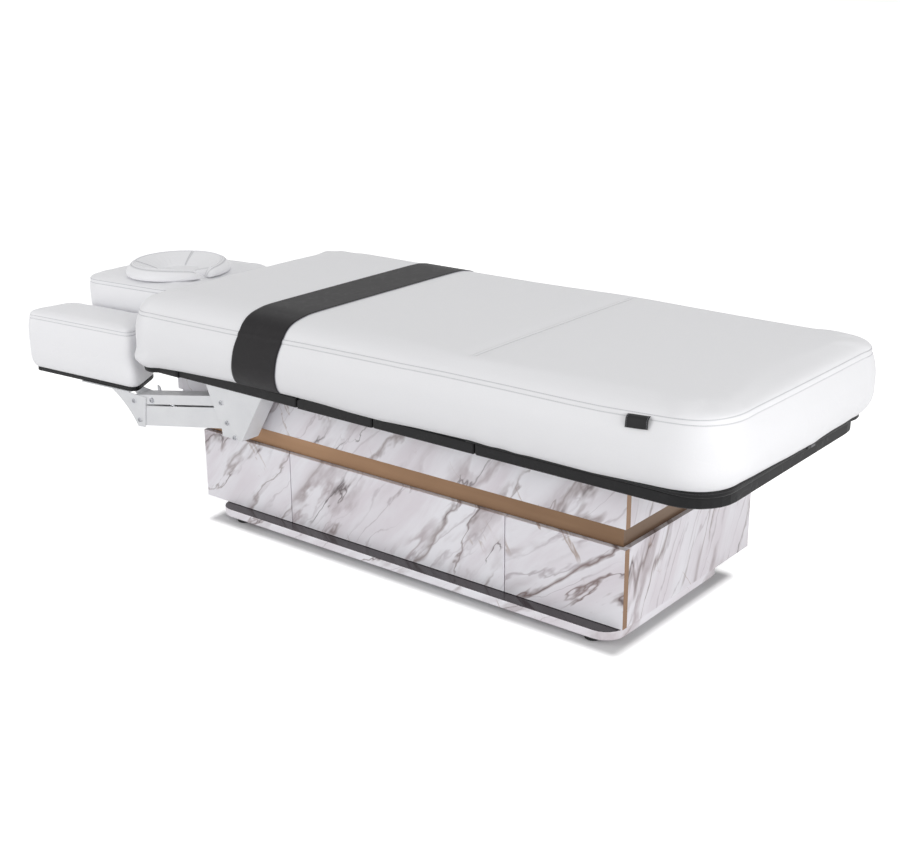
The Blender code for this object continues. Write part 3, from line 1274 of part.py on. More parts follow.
def strut(side, name, tube_pivot, rod_pivot):
    """The gas strut between the frame and the upper arm: a tube with an eye, and the rod that leaves it."""
    foot = Vector((STRUT_FOOT[0], 0.0, STRUT_FOOT[1]))
    head_x, head_z = on_arm(PIVOT_A, STRUT_HEAD_ALONG, -STRUT_HEAD_DROP)
    head = Vector((head_x, 0.0, head_z))
    y = side * (ARM_INNER + ARM_OUTER) / 2
    foot.y = y
    head.y = y
    way = (head - foot).normalized()
    middle = abs(y)
    tube = rod(foot + way * STRUT_END_GAP, foot + way * STRUT_TUBE_LENGTH, STRUT_TUBE, ROUND_SIDES)
    stem = rod(foot, foot + way * (STRUT_END_GAP + OVERRUN), STRUT_ROD, STEM_SIDES)
    eye = across(side, STRUT_FOOT, middle - EYE_HALF, middle + EYE_HALF, EYE_RADIUS, ROUND_SIDES)
    union(tube, stem, eye)
    bore_start = foot + way * (STRUT_ROD_INNER - STRUT_ROD_ROOM)
    bore = rod(bore_start, foot + way * (STRUT_TUBE_LENGTH + OVERRUN), STRUT_ROD + RUN, STEM_SIDES)
    eye_cut = (middle - EYE_HALF - OVERRUN, middle + EYE_HALF + OVERRUN)
    hole = across(side, STRUT_FOOT, *eye_cut, ARM_PIN + PIN_PLAY, PIN_SIDES)
    cut(tube, bore, hole)
    finish(tube, f"strut_tube_{name}", "black", tube_pivot)
    shaft = rod(foot + way * STRUT_ROD_INNER, head - way * (EYE_RADIUS - STRUT_ROD), STRUT_ROD, STEM_SIDES)
    head_eye = across(side, (head_x, head_z), middle - EYE_HALF, middle + EYE_HALF, EYE_RADIUS, ROUND_SIDES)
    union(shaft, head_eye)
    play = ARM_PIN + STRUT_HEAD_PLAY
    cut(shaft, across(side, (head_x, head_z), *eye_cut, play, PIN_SIDES))
    finish(shaft, f"strut_rod_{name}", "steel", rod_pivot)


def armrest(side, name, back):
    """One armrest with its four-bar linkage and strut, on its own chain of pivots."""
    def at(place):
        return (place[0], 0.0, place[1])

    armrest_frame(side, name, back)
    upper = empty(f"arm_{name}", at(PIVOT_A), back)
    lower = empty(f"lower_link_{name}", at(PIVOT_B), back)
    carrier = empty(f"carrier_{name}", at(on_arm(PIVOT_A, ARM_LENGTH, 0.0)), upper)
    tube = empty(f"strut_swing_{name}", at(STRUT_FOOT), back)
    reach = empty(f"strut_reach_{name}", at(STRUT_FOOT), tube)
    upper_arm(side, name, upper)
    lower_arm(side, name, lower)
    gusset(side, name, carrier)
    armrest_pad(side, name, carrier)
    strut(side, name, tube, reach)


def treatment_table():
    """Everything, hung on the pivots of its joints."""
    base = empty("base", (0.0, 0.0, 0.0))
    top = empty("lift", (0.0, 0.0, FRIEZE_TOP), base)
    stages = empty("lift_stages", (0.0, 0.0, PLINTH_TOP), base)
    hinge_z = BOARD_TOP - HINGE_DEPTH
    back = empty("back_tilt", (BACK_HINGE_X, 0.0, hinge_z), top)
    thigh = empty("thigh_tilt", (THIGH_HINGE_X, 0.0, hinge_z), top)
    calf = empty("calf_tilt", (CALF_HINGE_X, 0.0, calf_hinge_z()), thigh)
    back_rod = empty("back_rod_slide", (BACK_HINGE_X, ACTUATOR_Y, hinge_z - PIN_DROP), top)
    leg_rod = empty("leg_rod_slide", (THIGH_HINGE_X, -ACTUATOR_Y, hinge_z - PIN_DROP), top)
    slide = empty("headrest_slide_axis", (HEADREST_HINGE_X, 0.0, headrest_rod_z()), back)
    head = empty("headrest_tilt", (HEADREST_HINGE_X, 0.0, HEADREST_HINGE_Z), slide)

    plinth(base)
    carcass(base)
    band_deck(base)
    frieze(base)
    drawers(base)
    columns(base, stages)
    lift_frame(top)
    back_frame(back)
    leg_frames(thigh, calf)
    boards(back, top, thigh, calf)
    mattress(back, top, thigh, calf)
    actuator("back", BACK_HINGE_X, -1, BACK_TRAVEL, ACTUATOR_Y, top, back_rod)
    actuator("leg", THIGH_HINGE_X, 1, THIGH_TRAVEL, -ACTUATOR_Y, top, leg_rod)
    headrest(slide, head)
    for side, name in ((-1, "near"), (1, "far")):
        armrest(side, name, back)


for old in list(bpy.data.objects):
    bpy.data.objects.remove(old)
treatment_table()
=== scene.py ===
import bmesh
import bpy
import numpy as np
from mathutils import Matrix, Vector


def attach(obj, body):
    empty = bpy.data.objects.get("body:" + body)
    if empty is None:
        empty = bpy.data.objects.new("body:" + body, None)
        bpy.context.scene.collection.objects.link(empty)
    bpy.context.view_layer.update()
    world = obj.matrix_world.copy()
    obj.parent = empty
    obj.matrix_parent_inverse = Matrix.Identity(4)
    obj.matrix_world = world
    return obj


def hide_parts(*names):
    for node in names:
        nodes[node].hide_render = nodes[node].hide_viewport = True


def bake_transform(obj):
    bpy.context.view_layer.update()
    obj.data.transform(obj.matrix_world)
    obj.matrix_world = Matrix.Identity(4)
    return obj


# A spa treatment table: cabinet with drawers, folding padded top, headrest and two armrests.
# Metres, +Z up, the head end towards -X and the drawers towards -Y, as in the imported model.

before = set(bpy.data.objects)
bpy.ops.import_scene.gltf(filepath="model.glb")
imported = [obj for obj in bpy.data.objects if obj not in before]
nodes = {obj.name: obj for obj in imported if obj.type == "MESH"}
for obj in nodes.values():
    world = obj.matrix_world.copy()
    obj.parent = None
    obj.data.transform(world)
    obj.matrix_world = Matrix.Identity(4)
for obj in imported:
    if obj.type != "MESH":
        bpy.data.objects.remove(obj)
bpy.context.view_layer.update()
scene = bpy.context.scene
print("frame loaded:", len(nodes), "parts")


def linkMesh(name, points, faces, smooth=True):
    # points (n, 3), faces any mix of index rows
    mesh = bpy.data.meshes.new(name)
    mesh.from_pydata(np.asarray(points, float).tolist(), [], [list(map(int, f)) for f in faces])
    mesh.polygons.foreach_set("use_smooth", np.full(len(mesh.polygons), smooth))
    mesh.update()
    piece = bpy.data.objects.new(name, mesh)
    scene.collection.objects.link(piece)
    return piece


def gridFaces(rows, cols, wrapCols=False):
    # quads of a rows x cols sheet of points: point number = row * cols + col
    r, c = np.meshgrid(np.arange(rows - 1), np.arange(cols if wrapCols else cols - 1), indexing="ij")
    r, c = r.ravel(), c.ravel()
    beside = (c + 1) % cols
    return np.stack([r * cols + c, (r + 1) * cols + c, (r + 1) * cols + beside, r * cols + beside], axis=1)


def getPoints(piece):
    # the mesh's points as one (n, 3) array
    flat = np.empty(len(piece.data.vertices) * 3)
    piece.data.vertices.foreach_get("co", flat)
    return flat.reshape(-1, 3)


def setPoints(piece, points):
    # puts an (n, 3) array back into the mesh
    piece.data.vertices.foreach_set("co", np.ascontiguousarray(points, float).ravel())
    piece.data.update()


def applyModifier(piece, kind, **settings):
    # adds one modifier and keeps its result as the piece's own mesh
    made = piece.modifiers.new(kind.title(), kind)
    for key, value in settings.items():
        setattr(made, key, value)
    shaped = bpy.data.meshes.new_from_object(piece.evaluated_get(bpy.context.evaluated_depsgraph_get()))
    piece.modifiers.remove(made)
    piece.data = shaped
    return piece


def smoothNoise(points, scale, seed):
    # a sum of nine slanted sine waves with seeded directions: smooth, repeatable, about -1 to 1
    rng = np.random.default_rng(seed)
    way = rng.normal(size=(9, 3))
    way /= np.linalg.norm(way, axis=1, keepdims=True)
    pace = scale * rng.uniform(0.6, 1.6, 9)
    phase = rng.uniform(0, 2 * np.pi, 9)
    return np.sin((points @ way.T) * pace + phase).mean(axis=1) * 2.2


def pillow(name, plan, rows, crown, floor):
    # a closed cushion: a crown on a grid of x stations by shares of the half width there, then one ring per row
    # (inset from the sewn outline, height) down its sides, then a flat bottom
    lowX, highX = plan["x"]
    lowY, highY = plan["y"]
    inner = rows[0][0]
    headTurn, footTurn = [corner - inner for corner in plan["corners"]]
    a, b = lowX + inner, highX - inner
    midY, half = (lowY + highY) / 2, (highY - lowY) / 2 - inner
    arc = 1 - np.cos(np.linspace(0, np.pi / 2, plan["cornerSteps"] + 1))
    body = np.linspace(a + headTurn, b - footTurn, max(int((b - a - headTurn - footTurn) / plan["cell"]), 2) + 1)
    extra = np.asarray(plan.get("stations", []), float)
    if len(extra):
        body = body[np.min(np.abs(body[:, None] - extra[None]), axis=1) > plan["cell"] * 0.3]
        body = np.union1d(np.union1d(body, extra), [a + headTurn, b - footTurn])
    xs = np.concatenate([a + headTurn * arc[:-1], body, (b - footTurn * arc)[::-1][1:]])
    atHead = xs < (a + b) / 2
    turn = np.where(atHead, headTurn, footTurn)
    near = np.where(atHead, xs - a, b - xs)
    drop = np.where(near < turn, turn - np.sqrt(np.maximum(turn ** 2 - (turn - near) ** 2, 0)), 0.0)
    widths = half - drop
    ts = np.linspace(-1, 1, max(int(2 * half / plan["cell"]), 2) + 1)
    nx, ny = len(xs), len(ts)
    X = np.repeat(xs[:, None], ny, 1)
    Y = midY + widths[:, None] * ts[None]
    top = np.stack([X, Y, crown(X, Y)], axis=-1).reshape(-1, 3)
    bottom = np.stack([X, Y, np.full_like(X, floor)], axis=-1).reshape(-1, 3)
    i, j = np.arange(nx), np.arange(ny)
    loop = np.concatenate([i * ny, (nx - 1) * ny + j[1:], i[::-1][1:] * ny + ny - 1, j[::-1][1:-1]])
    edge = top[loop, :2]
    side = np.where(edge[:, 1] > midY, 1.0, -1.0)
    edgeTurn = np.where(edge[:, 0] < (a + b) / 2, headTurn, footTurn)
    out = np.stack([edge[:, 0] - np.clip(edge[:, 0], a + headTurn, b - footTurn),
                    edge[:, 1] - midY - side * (half - edgeTurn)], axis=1)
    out[np.abs(edge[:, 1] - midY) <= half - edgeTurn + 1e-9, 1] = 0.0
    straight = (edge[:, 0] > a + headTurn - 1e-9) & (edge[:, 0] < b - footTurn + 1e-9)
    out[straight, 0] = 0.0
    out[straight, 1] = side[straight]
    out /= np.maximum(np.linalg.norm(out, axis=1, keepdims=True), 1e-9)
    outline = edge + out * inner
    rings = []
    for inset, height in rows[1:-1]:
        value = inset(outline, out) if callable(inset) else np.full(len(outline), inset)
        z = height(outline, out) if callable(height) else np.full(len(outline), height)
        rings.append(np.column_stack([outline - out * value[:, None], z]))
    count = len(loop)
    points = np.concatenate([top] + rings + [bottom])
    start = nx * ny
    base = start + len(rings) * count
    rowIndex = [loop] + [start + k * count + np.arange(count) for k in range(len(rings))] + [base + loop]
    faces = [gridFaces(nx, ny)]
    following = np.roll(np.arange(count), -1)
    for upper, lower in zip(rowIndex, rowIndex[1:]):
        faces.append(np.stack([upper, lower, lower[following], upper[following]], axis=1))
    faces.append(gridFaces(nx, ny)[:, ::-1] + base)
    piece = linkMesh(name, points, np.concatenate(faces))
    return piece, {"rows": rowIndex, "out": out, "outline": outline, "grid": (nx, ny), "xs": xs, "base": base}


inflation = {"pressure": 4.0, "frames": 20, "quality": 4}


def puff(piece, pinned, cap):
    # inflates the cover as cloth with the sewn and resting points held, then caps how far it may move:
    # move * tanh(length / cap) * cap / length
    rest = getPoints(piece)
    group = piece.vertex_groups.new(name="held")
    group.add([int(v) for v in np.unique(pinned)], 1.0, "REPLACE")
    cloth = piece.modifiers.new("Cloth", "CLOTH")
    cloth.settings.use_pressure = True
    cloth.settings.uniform_pressure_force = inflation["pressure"]
    cloth.settings.effector_weights.gravity = 0
    cloth.settings.vertex_group_mass = "held"
    cloth.settings.quality = inflation["quality"]
    cloth.collision_settings.use_collision = False
    cloth.point_cache.frame_start = 1
    cloth.point_cache.frame_end = inflation["frames"]
    for step in range(1, inflation["frames"] + 1):
        scene.frame_set(step)
    puffed = piece.evaluated_get(bpy.context.evaluated_depsgraph_get())
    shaped = puffed.to_mesh()
    flat = np.empty(len(shaped.vertices) * 3)
    shaped.vertices.foreach_get("co", flat)
    puffed.to_mesh_clear()
    piece.modifiers.remove(cloth)
    piece.vertex_groups.remove(group)
    scene.frame_set(1)
    move = flat.reshape(-1, 3) - rest
    length = np.linalg.norm(move, axis=1, keepdims=True)
    setPoints(piece, rest + move * np.tanh(length / cap) * cap / np.maximum(length, 1e-9))


def stitchRow(name, path, normals, thread, closed=True):
    # one small rounded stitch at each pitch of arc length: path + along * tangent + across * side + up * normal
    points = np.vstack([path, path[:1]]) if closed else path
    outs = np.vstack([normals, normals[:1]]) if closed else normals

    def sampled(values, where):
        # each coordinate interpolated along the arc length
        return np.stack([np.interp(where, run, values[:, k]) for k in range(3)], axis=1)

    run = np.concatenate([[0], np.cumsum(np.linalg.norm(np.diff(points, axis=0), axis=1))])
    count = int(run[-1] / thread["pitch"])
    s = (np.arange(count) + 0.5) * run[-1] / count
    at = sampled(points, s)
    tangent = sampled(points, s + 1e-3) - sampled(points, s - 1e-3)
    tangent /= np.maximum(np.linalg.norm(tangent, axis=1, keepdims=True), 1e-9)
    normal = sampled(outs, s)
    normal -= tangent * np.sum(normal * tangent, axis=1, keepdims=True)
    normal /= np.maximum(np.linalg.norm(normal, axis=1, keepdims=True), 1e-9)
    across = np.cross(tangent, normal)
    share = np.array([-0.5, -0.38, 0.0, 0.38, 0.5])
    girth = np.array([0.35, 0.9, 1.0, 0.9, 0.35])
    sides = 6
    angle = np.arange(sides) * 2 * np.pi / sides
    along = np.repeat(share * thread["length"], sides)
    wide = np.outer(girth, np.cos(angle)).ravel() * thread["radius"]
    high = np.outer(girth, np.sin(angle)).ravel() * thread["radius"] + thread["lift"]
    local = (at[:, None] + tangent[:, None] * along[:, None] + across[:, None] * wide[:, None]
             + normal[:, None] * high[:, None])
    size = len(share) * sides
    quads = gridFaces(len(share), sides, wrapCols=True)
    caps = [list(range(sides))[::-1], list(range(size - sides, size))]
    faces = (quads[None] + (np.arange(count) * size)[:, None, None]).reshape(-1, 4)
    capFaces = [[v + n * size for v in cap] for n in range(count) for cap in caps]
    piece = linkMesh(name, local.reshape(-1, 3), list(faces) + capFaces)
    return outwards(piece)


def outwards(piece):
    # turns every closed shell's faces to the outside
    bm = bmesh.new()
    bm.from_mesh(piece.data)
    bmesh.ops.recalc_face_normals(bm, faces=bm.faces)
    bm.to_mesh(piece.data)
    bm.free()
    return piece


def sliceX(piece, name, low, high):
    # keeps what lies between two planes across the table, and closes the cuts
    bm = bmesh.new()
    bm.from_mesh(piece.data)
    for x, way in ((low, -1), (high, 1)):
        if x is None:
            continue
        found = bmesh.ops.bisect_plane(bm, geom=bm.verts[:] + bm.edges[:] + bm.faces[:], dist=1e-6,
                                       plane_co=(x, 0, 0), plane_no=(way, 0, 0), clear_outer=True)
        rim = [e for e in found["geom_cut"] if isinstance(e, bmesh.types.BMEdge)]
        if rim:
            filled = bmesh.ops.triangle_fill(bm, edges=rim, use_beauty=True, normal=(way, 0, 0))
            for face in filled["geom"]:
                if isinstance(face, bmesh.types.BMFace):
                    face.smooth = False
            for edge in rim:
                edge.smooth = False
    mesh = bpy.data.meshes.new(name)
    bm.to_mesh(mesh)
    bm.free()
    part = bpy.data.objects.new(name, mesh)
    scene.collection.objects.link(part)
    return part


def markSeams(piece, points):
    # 1 on the sewn points and 0 elsewhere, for the painted shade along the leather's pressed-in seam lines
    values = np.zeros(len(piece.data.vertices))
    values[points] = 1.0
    layer = piece.data.attributes.new("seam", "FLOAT", "POINT")
    layer.data.foreach_set("value", values)


def shadeSmooth(piece):
    # every face rounded off by its neighbours' normals
    piece.data.polygons.foreach_set("use_smooth", np.full(len(piece.data.polygons), True))


def finishCover(piece):
    # one level of subdivision, applied
    applyModifier(piece, "SUBSURF", levels=1, render_levels=1)
    shadeSmooth(piece)


def feed(tree, slot, value):
    # links an output to the socket, or sets its value
    if isinstance(value, bpy.types.NodeSocket):
        tree.links.new(value, slot)
    else:
        slot.default_value = value


def addNode(tree, kind, settings=None, **sockets):
    # socket names are given with _ for spaces, inN for the Nth socket; a value or a link
    node = tree.nodes.new(kind)
    for key, value in (settings or {}).items():
        setattr(node, key, value)
    for key, value in sockets.items():
        numbered = key[:2] == "in" and key[2:].isdigit()
        feed(tree, node.inputs[int(key[2:])] if numbered else node.inputs[key.replace("_", " ")], value)
    return node


def mathNode(tree, kind, a, b=0.0, c=0.0):
    # one number from up to three by the named operation
    return addNode(tree, "ShaderNodeMath", {"operation": kind}, in0=a, in1=b, in2=c).outputs[0]


def times(tree, a, b):
    # a * b
    return mathNode(tree, "MULTIPLY", a, b)


def plus(tree, a, b):
    # a + b
    return mathNode(tree, "ADD", a, b)


def vectorNode(tree, kind, a, b, c=(0, 0, 0)):
    # one vector from up to three by the named operation
    return addNode(tree, "ShaderNodeVectorMath", {"operation": kind}, in0=a, in1=b, in2=c).outputs[0]


def axisOf(tree, vector, axis):
    # one axis of a vector, 0 to 2
    return addNode(tree, "ShaderNodeSeparateXYZ", None, Vector=vector).outputs[axis]


def facing(tree, axis):
    # how far the surface faces along one axis, -1 to 1
    return axisOf(tree, tree.nodes.new("ShaderNodeNewGeometry").outputs["Normal"], axis)


def ranged(tree, value, low, high, toLow=0.0, toHigh=1.0, smooth=True):
    # low to high becomes toLow to toHigh and stops there, on a smooth step or a straight line
    kind = "SMOOTHSTEP" if smooth else "LINEAR"
    return addNode(tree, "ShaderNodeMapRange", {"interpolation_type": kind}, in0=value, in1=low, in2=high,
                   in3=toLow, in4=toHigh).outputs[0]


def mixColor(tree, share, a, b):
    # a * (1 - share) + b * share
    return addNode(tree, "ShaderNodeMix", {"data_type": "RGBA"}, in0=share, in6=a, in7=b).outputs[2]


def noiseNode(tree, vector, scale, detail=2.0, rough=0.5, twist=0.0):
    # cloudy noise about 0.5, with scale in features to the metre
    return addNode(tree, "ShaderNodeTexNoise", None, Vector=vector, Scale=scale, Detail=detail, Roughness=rough,
                   Distortion=twist).outputs[0]


def newGroup(name, inputs, outputs):
    # an empty node group with the named inputs (name, kind, value) and outputs (name, kind)
    group = bpy.data.node_groups.new(name, "ShaderNodeTree")
    for label, kind, value in inputs:
        slot = group.interface.new_socket(label, in_out="INPUT", socket_type=kind)
        if value is not None:
            slot.default_value = value
    for label, kind in outputs:
        group.interface.new_socket(label, in_out="OUTPUT", socket_type=kind)
    return group, group.nodes.new("NodeGroupInput"), group.nodes.new("NodeGroupOutput")


def rgb(r, g, b):
    # a linear colour with full alpha
    return (r, g, b, 1.0)


def sRgb(r, g, b):
    # a colour as seen on a screen, 0 to 255, in the linear values that shaders take
    c = np.array([r, g, b]) / 255
    c = np.where(c <= 0.04045, c / 12.92, ((c + 0.055) / 1.055) ** 2.4)
    return (*c.tolist(), 1.0)


def darker(color, r, g, b):
    # the colour with each channel taken times its own share
    return (color[0] * r, color[1] * g, color[2] * b, 1)


def startMaterial(name):
    # a material with one Principled shader, and the place on the piece in its own coordinates
    material = bpy.data.materials.new(name)
    material.use_nodes = True
    tree = material.node_tree
    tree.nodes.clear()
    out = tree.nodes.new("ShaderNodeOutputMaterial")
    shader = tree.nodes.new("ShaderNodeBsdfPrincipled")
    tree.links.new(shader.outputs[0], out.inputs[0])
    place = tree.nodes.new("ShaderNodeTexCoord").outputs["Object"]
    return material, tree, shader, place


def useGroup(tree, group, **sockets):
    # places a node group with its own values, and gives its outputs
    return addNode(tree, "ShaderNodeGroup", {"node_tree": group}, **sockets).outputs


def grainGroup():
    # pebbled leather: height = 0.1 * fine cells + 0.3 * a slower swell + creases where a slow noise is at its middle
    group, given, made = newGroup(
        "leatherGrain",
        [("Place", "NodeSocketVector", None), ("Pebbles", "NodeSocketFloat", 900.0),
         ("Creases", "NodeSocketFloat", 0.3)],
        [("Height", "NodeSocketFloat"), ("HollowShade", "NodeSocketFloat")],
    )
    place = given.outputs["Place"]
    cells = addNode(group, "ShaderNodeTexVoronoi", {"feature": "SMOOTH_F1"}, Vector=place,
                    Scale=given.outputs["Pebbles"], Smoothness=0.6).outputs["Distance"]
    swell = noiseNode(group, place, 38.0, 3.0, 0.55, 0.4)
    folds = noiseNode(group, place, 14.0, 2.0, 0.5, 1.2)
    fold = mathNode(group, "ABSOLUTE", mathNode(group, "SUBTRACT", folds, 0.5))
    creased = times(group, ranged(group, fold, 0.0, 0.035), given.outputs["Creases"])
    height = plus(group, times(group, cells, 0.10), times(group, swell, 0.30))
    group.links.new(plus(group, height, creased), made.inputs["Height"])
    # the hollows mask, which the leather uses for painted shade in the grain's hollows
    group.links.new(ranged(group, cells, 0.0, 0.6), made.inputs["HollowShade"])
    return group


marblePlan = {
    # the dark mauve-grey tone is painted shade, which the print of less-lit panels is drawn towards
    "ground": ((240, 239, 244), (226, 220, 226)), "paintedShadeTone": (96, 84, 92), "crossing": 0.95,
    "layers": (
        # broad haze, thin grey veins, streaks, warm veinlets that cross them, dark knots inside the streaks
        {"lines": 5.0, "sway": 3.2, "width": 0.36, "seed": 3.1, "patch": (6.0, 0.42, 0.60, 8.3),
         "level": 0.72, "tint": (176, 164, 168)},
        {"lines": 21.0, "sway": 6.0, "width": 0.16, "seed": 17.3, "patch": (8.0, 0.42, 0.58, 21.4),
         "level": 0.42, "tint": (158, 146, 152)},
        {"lines": 9.0, "sway": 4.6, "width": 0.19, "seed": 6.7, "patch": (8.0, 0.43, 0.56, 1.9),
         "level": 0.72, "tint": (134, 117, 116)},
        {"lines": 5.0, "sway": 3.4, "width": 0.045, "seed": 9.4, "patch": (7.0, 0.50, 0.60, 4.4),
         "level": 0.55, "tint": (158, 134, 118), "crosses": True},
        {"lines": 9.0, "sway": 4.6, "width": 0.075, "seed": 6.7, "patch": (15.0, 0.51, 0.63, 15.2),
         "level": 0.80, "tint": (84, 72, 74)},
    ),
}


def marbleGroup():
    # marble-look laminate: a near-white cloudy ground under layers of slanted veins; each layer is a set of
    # wavering parallel lines that a slow noise lets show in places; last, painted shade draws the whole print towards a
    # dark tone by a share given per panel
    group, given, made = newGroup(
        "marblePrint",
        [("Place", "NodeSocketVector", None), ("Shift", "NodeSocketVector", (0, 0, 0)),
         ("Slope", "NodeSocketFloat", 0.92), ("Strength", "NodeSocketFloat", 1.0), ("Shade", "NodeSocketFloat", 0.0)],
        [("Color", "NodeSocketColor")],
    )
    place = given.outputs["Place"]
    flat = plus(group, axisOf(group, place, 0), axisOf(group, place, 1))
    sheet = addNode(group, "ShaderNodeCombineXYZ", None, X=flat, Y=axisOf(group, place, 2), Z=0.0).outputs[0]
    moved = vectorNode(group, "ADD", sheet, given.outputs["Shift"])
    turned = addNode(group, "ShaderNodeVectorRotate", {"rotation_type": "Z_AXIS", "invert": True}, Vector=moved,
                     Angle=given.outputs["Slope"]).outputs[0]
    crossed = addNode(group, "ShaderNodeVectorRotate", {"rotation_type": "Z_AXIS"}, Vector=moved,
                      Angle=marblePlan["crossing"]).outputs[0]
    stretched = vectorNode(group, "MULTIPLY", turned, (0.22, 1.0, 1.0))
    waver = addNode(group, "ShaderNodeTexNoise", None, Vector=stretched, Scale=11.0, Detail=2.0).outputs["Color"]
    bent = vectorNode(group, "MULTIPLY_ADD", waver, (0.035, 0.035, 0.035), stretched)

    def vein(source, lines, sway, width, seed):
        # the distance across the slope plus a noise, folded to its nearest line, and 1 less that over the breadth,
        # which a second noise widens and thins
        shifted = vectorNode(group, "MULTIPLY_ADD", source, (0.34, 1.0, 1.0), (seed, seed * 1.7, seed))
        swayed = times(group, noiseNode(group, shifted, 5.0, 5.0, 0.56, 0.25), sway)
        folded = mathNode(group, "PINGPONG", plus(group, times(group, axisOf(group, source, 1), lines), swayed), 0.5)
        breadth = times(group, ranged(group, noiseNode(group, shifted, 16.0), 0.38, 0.64, 0.25, 1.0), width)
        near = mathNode(group, "SMOOTH_MIN", mathNode(group, "DIVIDE", folded, breadth), 1.0, 0.25)
        return mathNode(group, "SUBTRACT", 1.0, near)

    def patch(scale, low, high, seed):
        # where a layer shows: a slow noise between two levels
        shifted = vectorNode(group, "ADD", stretched, (seed, seed, 0))
        return ranged(group, noiseNode(group, shifted, scale), low, high)

    cloud = ranged(group, noiseNode(group, bent, 9.0, 4.0, 0.6, 0.4), 0.36, 0.70)
    pale, cloudy = marblePlan["ground"]
    color = mixColor(group, cloud, sRgb(*pale), sRgb(*cloudy))
    for layer in marblePlan["layers"]:
        source = crossed if layer.get("crosses") else turned
        lines = vein(source, layer["lines"], layer["sway"], layer["width"], layer["seed"])
        share = times(group, times(group, lines, patch(*layer["patch"])), layer["level"])
        color = mixColor(group, times(group, share, given.outputs["Strength"]), color, sRgb(*layer["tint"]))
    # painted shade: the whole print drawn towards the dark tone by the panel's share
    color = mixColor(group, given.outputs["Shade"], color, sRgb(*marblePlan["paintedShadeTone"]))
    group.links.new(color, made.inputs["Color"])
    return group


def wearGroup():
    # handling marks: slow smudges less 0.5 plus 0.15 * fine scratches change the gloss, and a fine grain the height
    group, given, made = newGroup(
        "handlingMarks",
        [("Place", "NodeSocketVector", None), ("Smudge Size", "NodeSocketFloat", 6.0)],
        [("Gloss Shift", "NodeSocketFloat"), ("Height", "NodeSocketFloat")],
    )
    place = given.outputs["Place"]
    smudge = noiseNode(group, place, given.outputs["Smudge Size"], 4.0, 0.6)
    scratch = noiseNode(group, vectorNode(group, "MULTIPLY", place, (30.0, 420.0, 420.0)), 1.0, 2.0, 0.6)
    shift = plus(group, mathNode(group, "SUBTRACT", smudge, 0.5), times(group, scratch, 0.15))
    group.links.new(shift, made.inputs["Gloss Shift"])
    group.links.new(noiseNode(group, place, 950.0, 2.0, 0.6), made.inputs["Height"])
    return group


leatherGrain = grainGroup()
marblePrint = marbleGroup()
handlingMarks = wearGroup()


def bumpInto(tree, shader, height, strength, distance):
    # the height as a bump of the given strength and depth in metres
    bump = addNode(tree, "ShaderNodeBump", None, Strength=strength, Distance=distance, Height=height)
    tree.links.new(bump.outputs[0], shader.inputs["Normal"])


def leatherMaterial(name, color, shade, rough, depth, pebbles=900.0, creases=0.25, seam=0.0, gloss=0.5):
    # leatherette: the colour, with painted shade in the grain's hollows and painted shade along the sewn lines
    material, tree, shader, place = startMaterial(name)
    grain = useGroup(tree, leatherGrain, Place=place, Pebbles=pebbles, Creases=creases)
    # painted shade: the grain's hollows a little darker
    tone = mixColor(tree, times(tree, grain["HollowShade"], 0.35), color, shade)
    # painted shade: darker along the sewn lines, where the seam grooves lie
    if seam:
        sewn = addNode(tree, "ShaderNodeAttribute", {"attribute_name": "seam"}).outputs["Fac"]
        tone = mixColor(tree, times(tree, ranged(tree, sewn, 0.0, 0.8), seam), tone, darker(color, 0.35, 0.35, 0.36))
    tree.links.new(tone, shader.inputs["Base Color"])
    shader.inputs["Specular IOR Level"].default_value = gloss
    tree.links.new(ranged(tree, grain["Height"], 0.0, 0.6, rough - 0.05, rough + 0.06), shader.inputs["Roughness"])
    shader.inputs["Sheen Weight"].default_value = 0.05
    bumpInto(tree, shader, grain["Height"], 0.6, depth)
    return material


def marbleMaterial(name, shift, slope=0.92, strength=1.0, shade=0.0):
    # the marble print, with the panel's share of painted shade, under a satin coat: roughness = 0.34 + 0.12 * the
    # handling marks
    material, tree, shader, place = startMaterial(name)
    marble = useGroup(tree, marblePrint, Place=place, Shift=shift, Slope=slope, Strength=strength, Shade=shade)
    marks = useGroup(tree, handlingMarks, Place=place, Smudge_Size=5.0)
    tree.links.new(marble["Color"], shader.inputs["Base Color"])
    tree.links.new(plus(tree, times(tree, marks["Gloss Shift"], 0.12), 0.34), shader.inputs["Roughness"])
    bumpInto(tree, shader, marks["Height"], 0.08, 0.0003)
    return material


def paintMaterial(name, color, rough, metal=0.0, peel=320.0):
    # paint, plastic or metal: faint smudges in colour and gloss over an orange-peel bump of peel features to the metre
    material, tree, shader, place = startMaterial(name)
    marks = useGroup(tree, handlingMarks, Place=place, Smudge_Size=9.0)
    tone = mixColor(tree, ranged(tree, marks["Gloss Shift"], -0.3, 0.4), color, darker(color, 0.9, 0.9, 0.91))
    tree.links.new(tone, shader.inputs["Base Color"])
    tree.links.new(plus(tree, times(tree, marks["Gloss Shift"], 0.15), rough), shader.inputs["Roughness"])
    shader.inputs["Metallic"].default_value = metal
    bumpInto(tree, shader, noiseNode(tree, place, peel), 0.25, 0.0003)
    return material


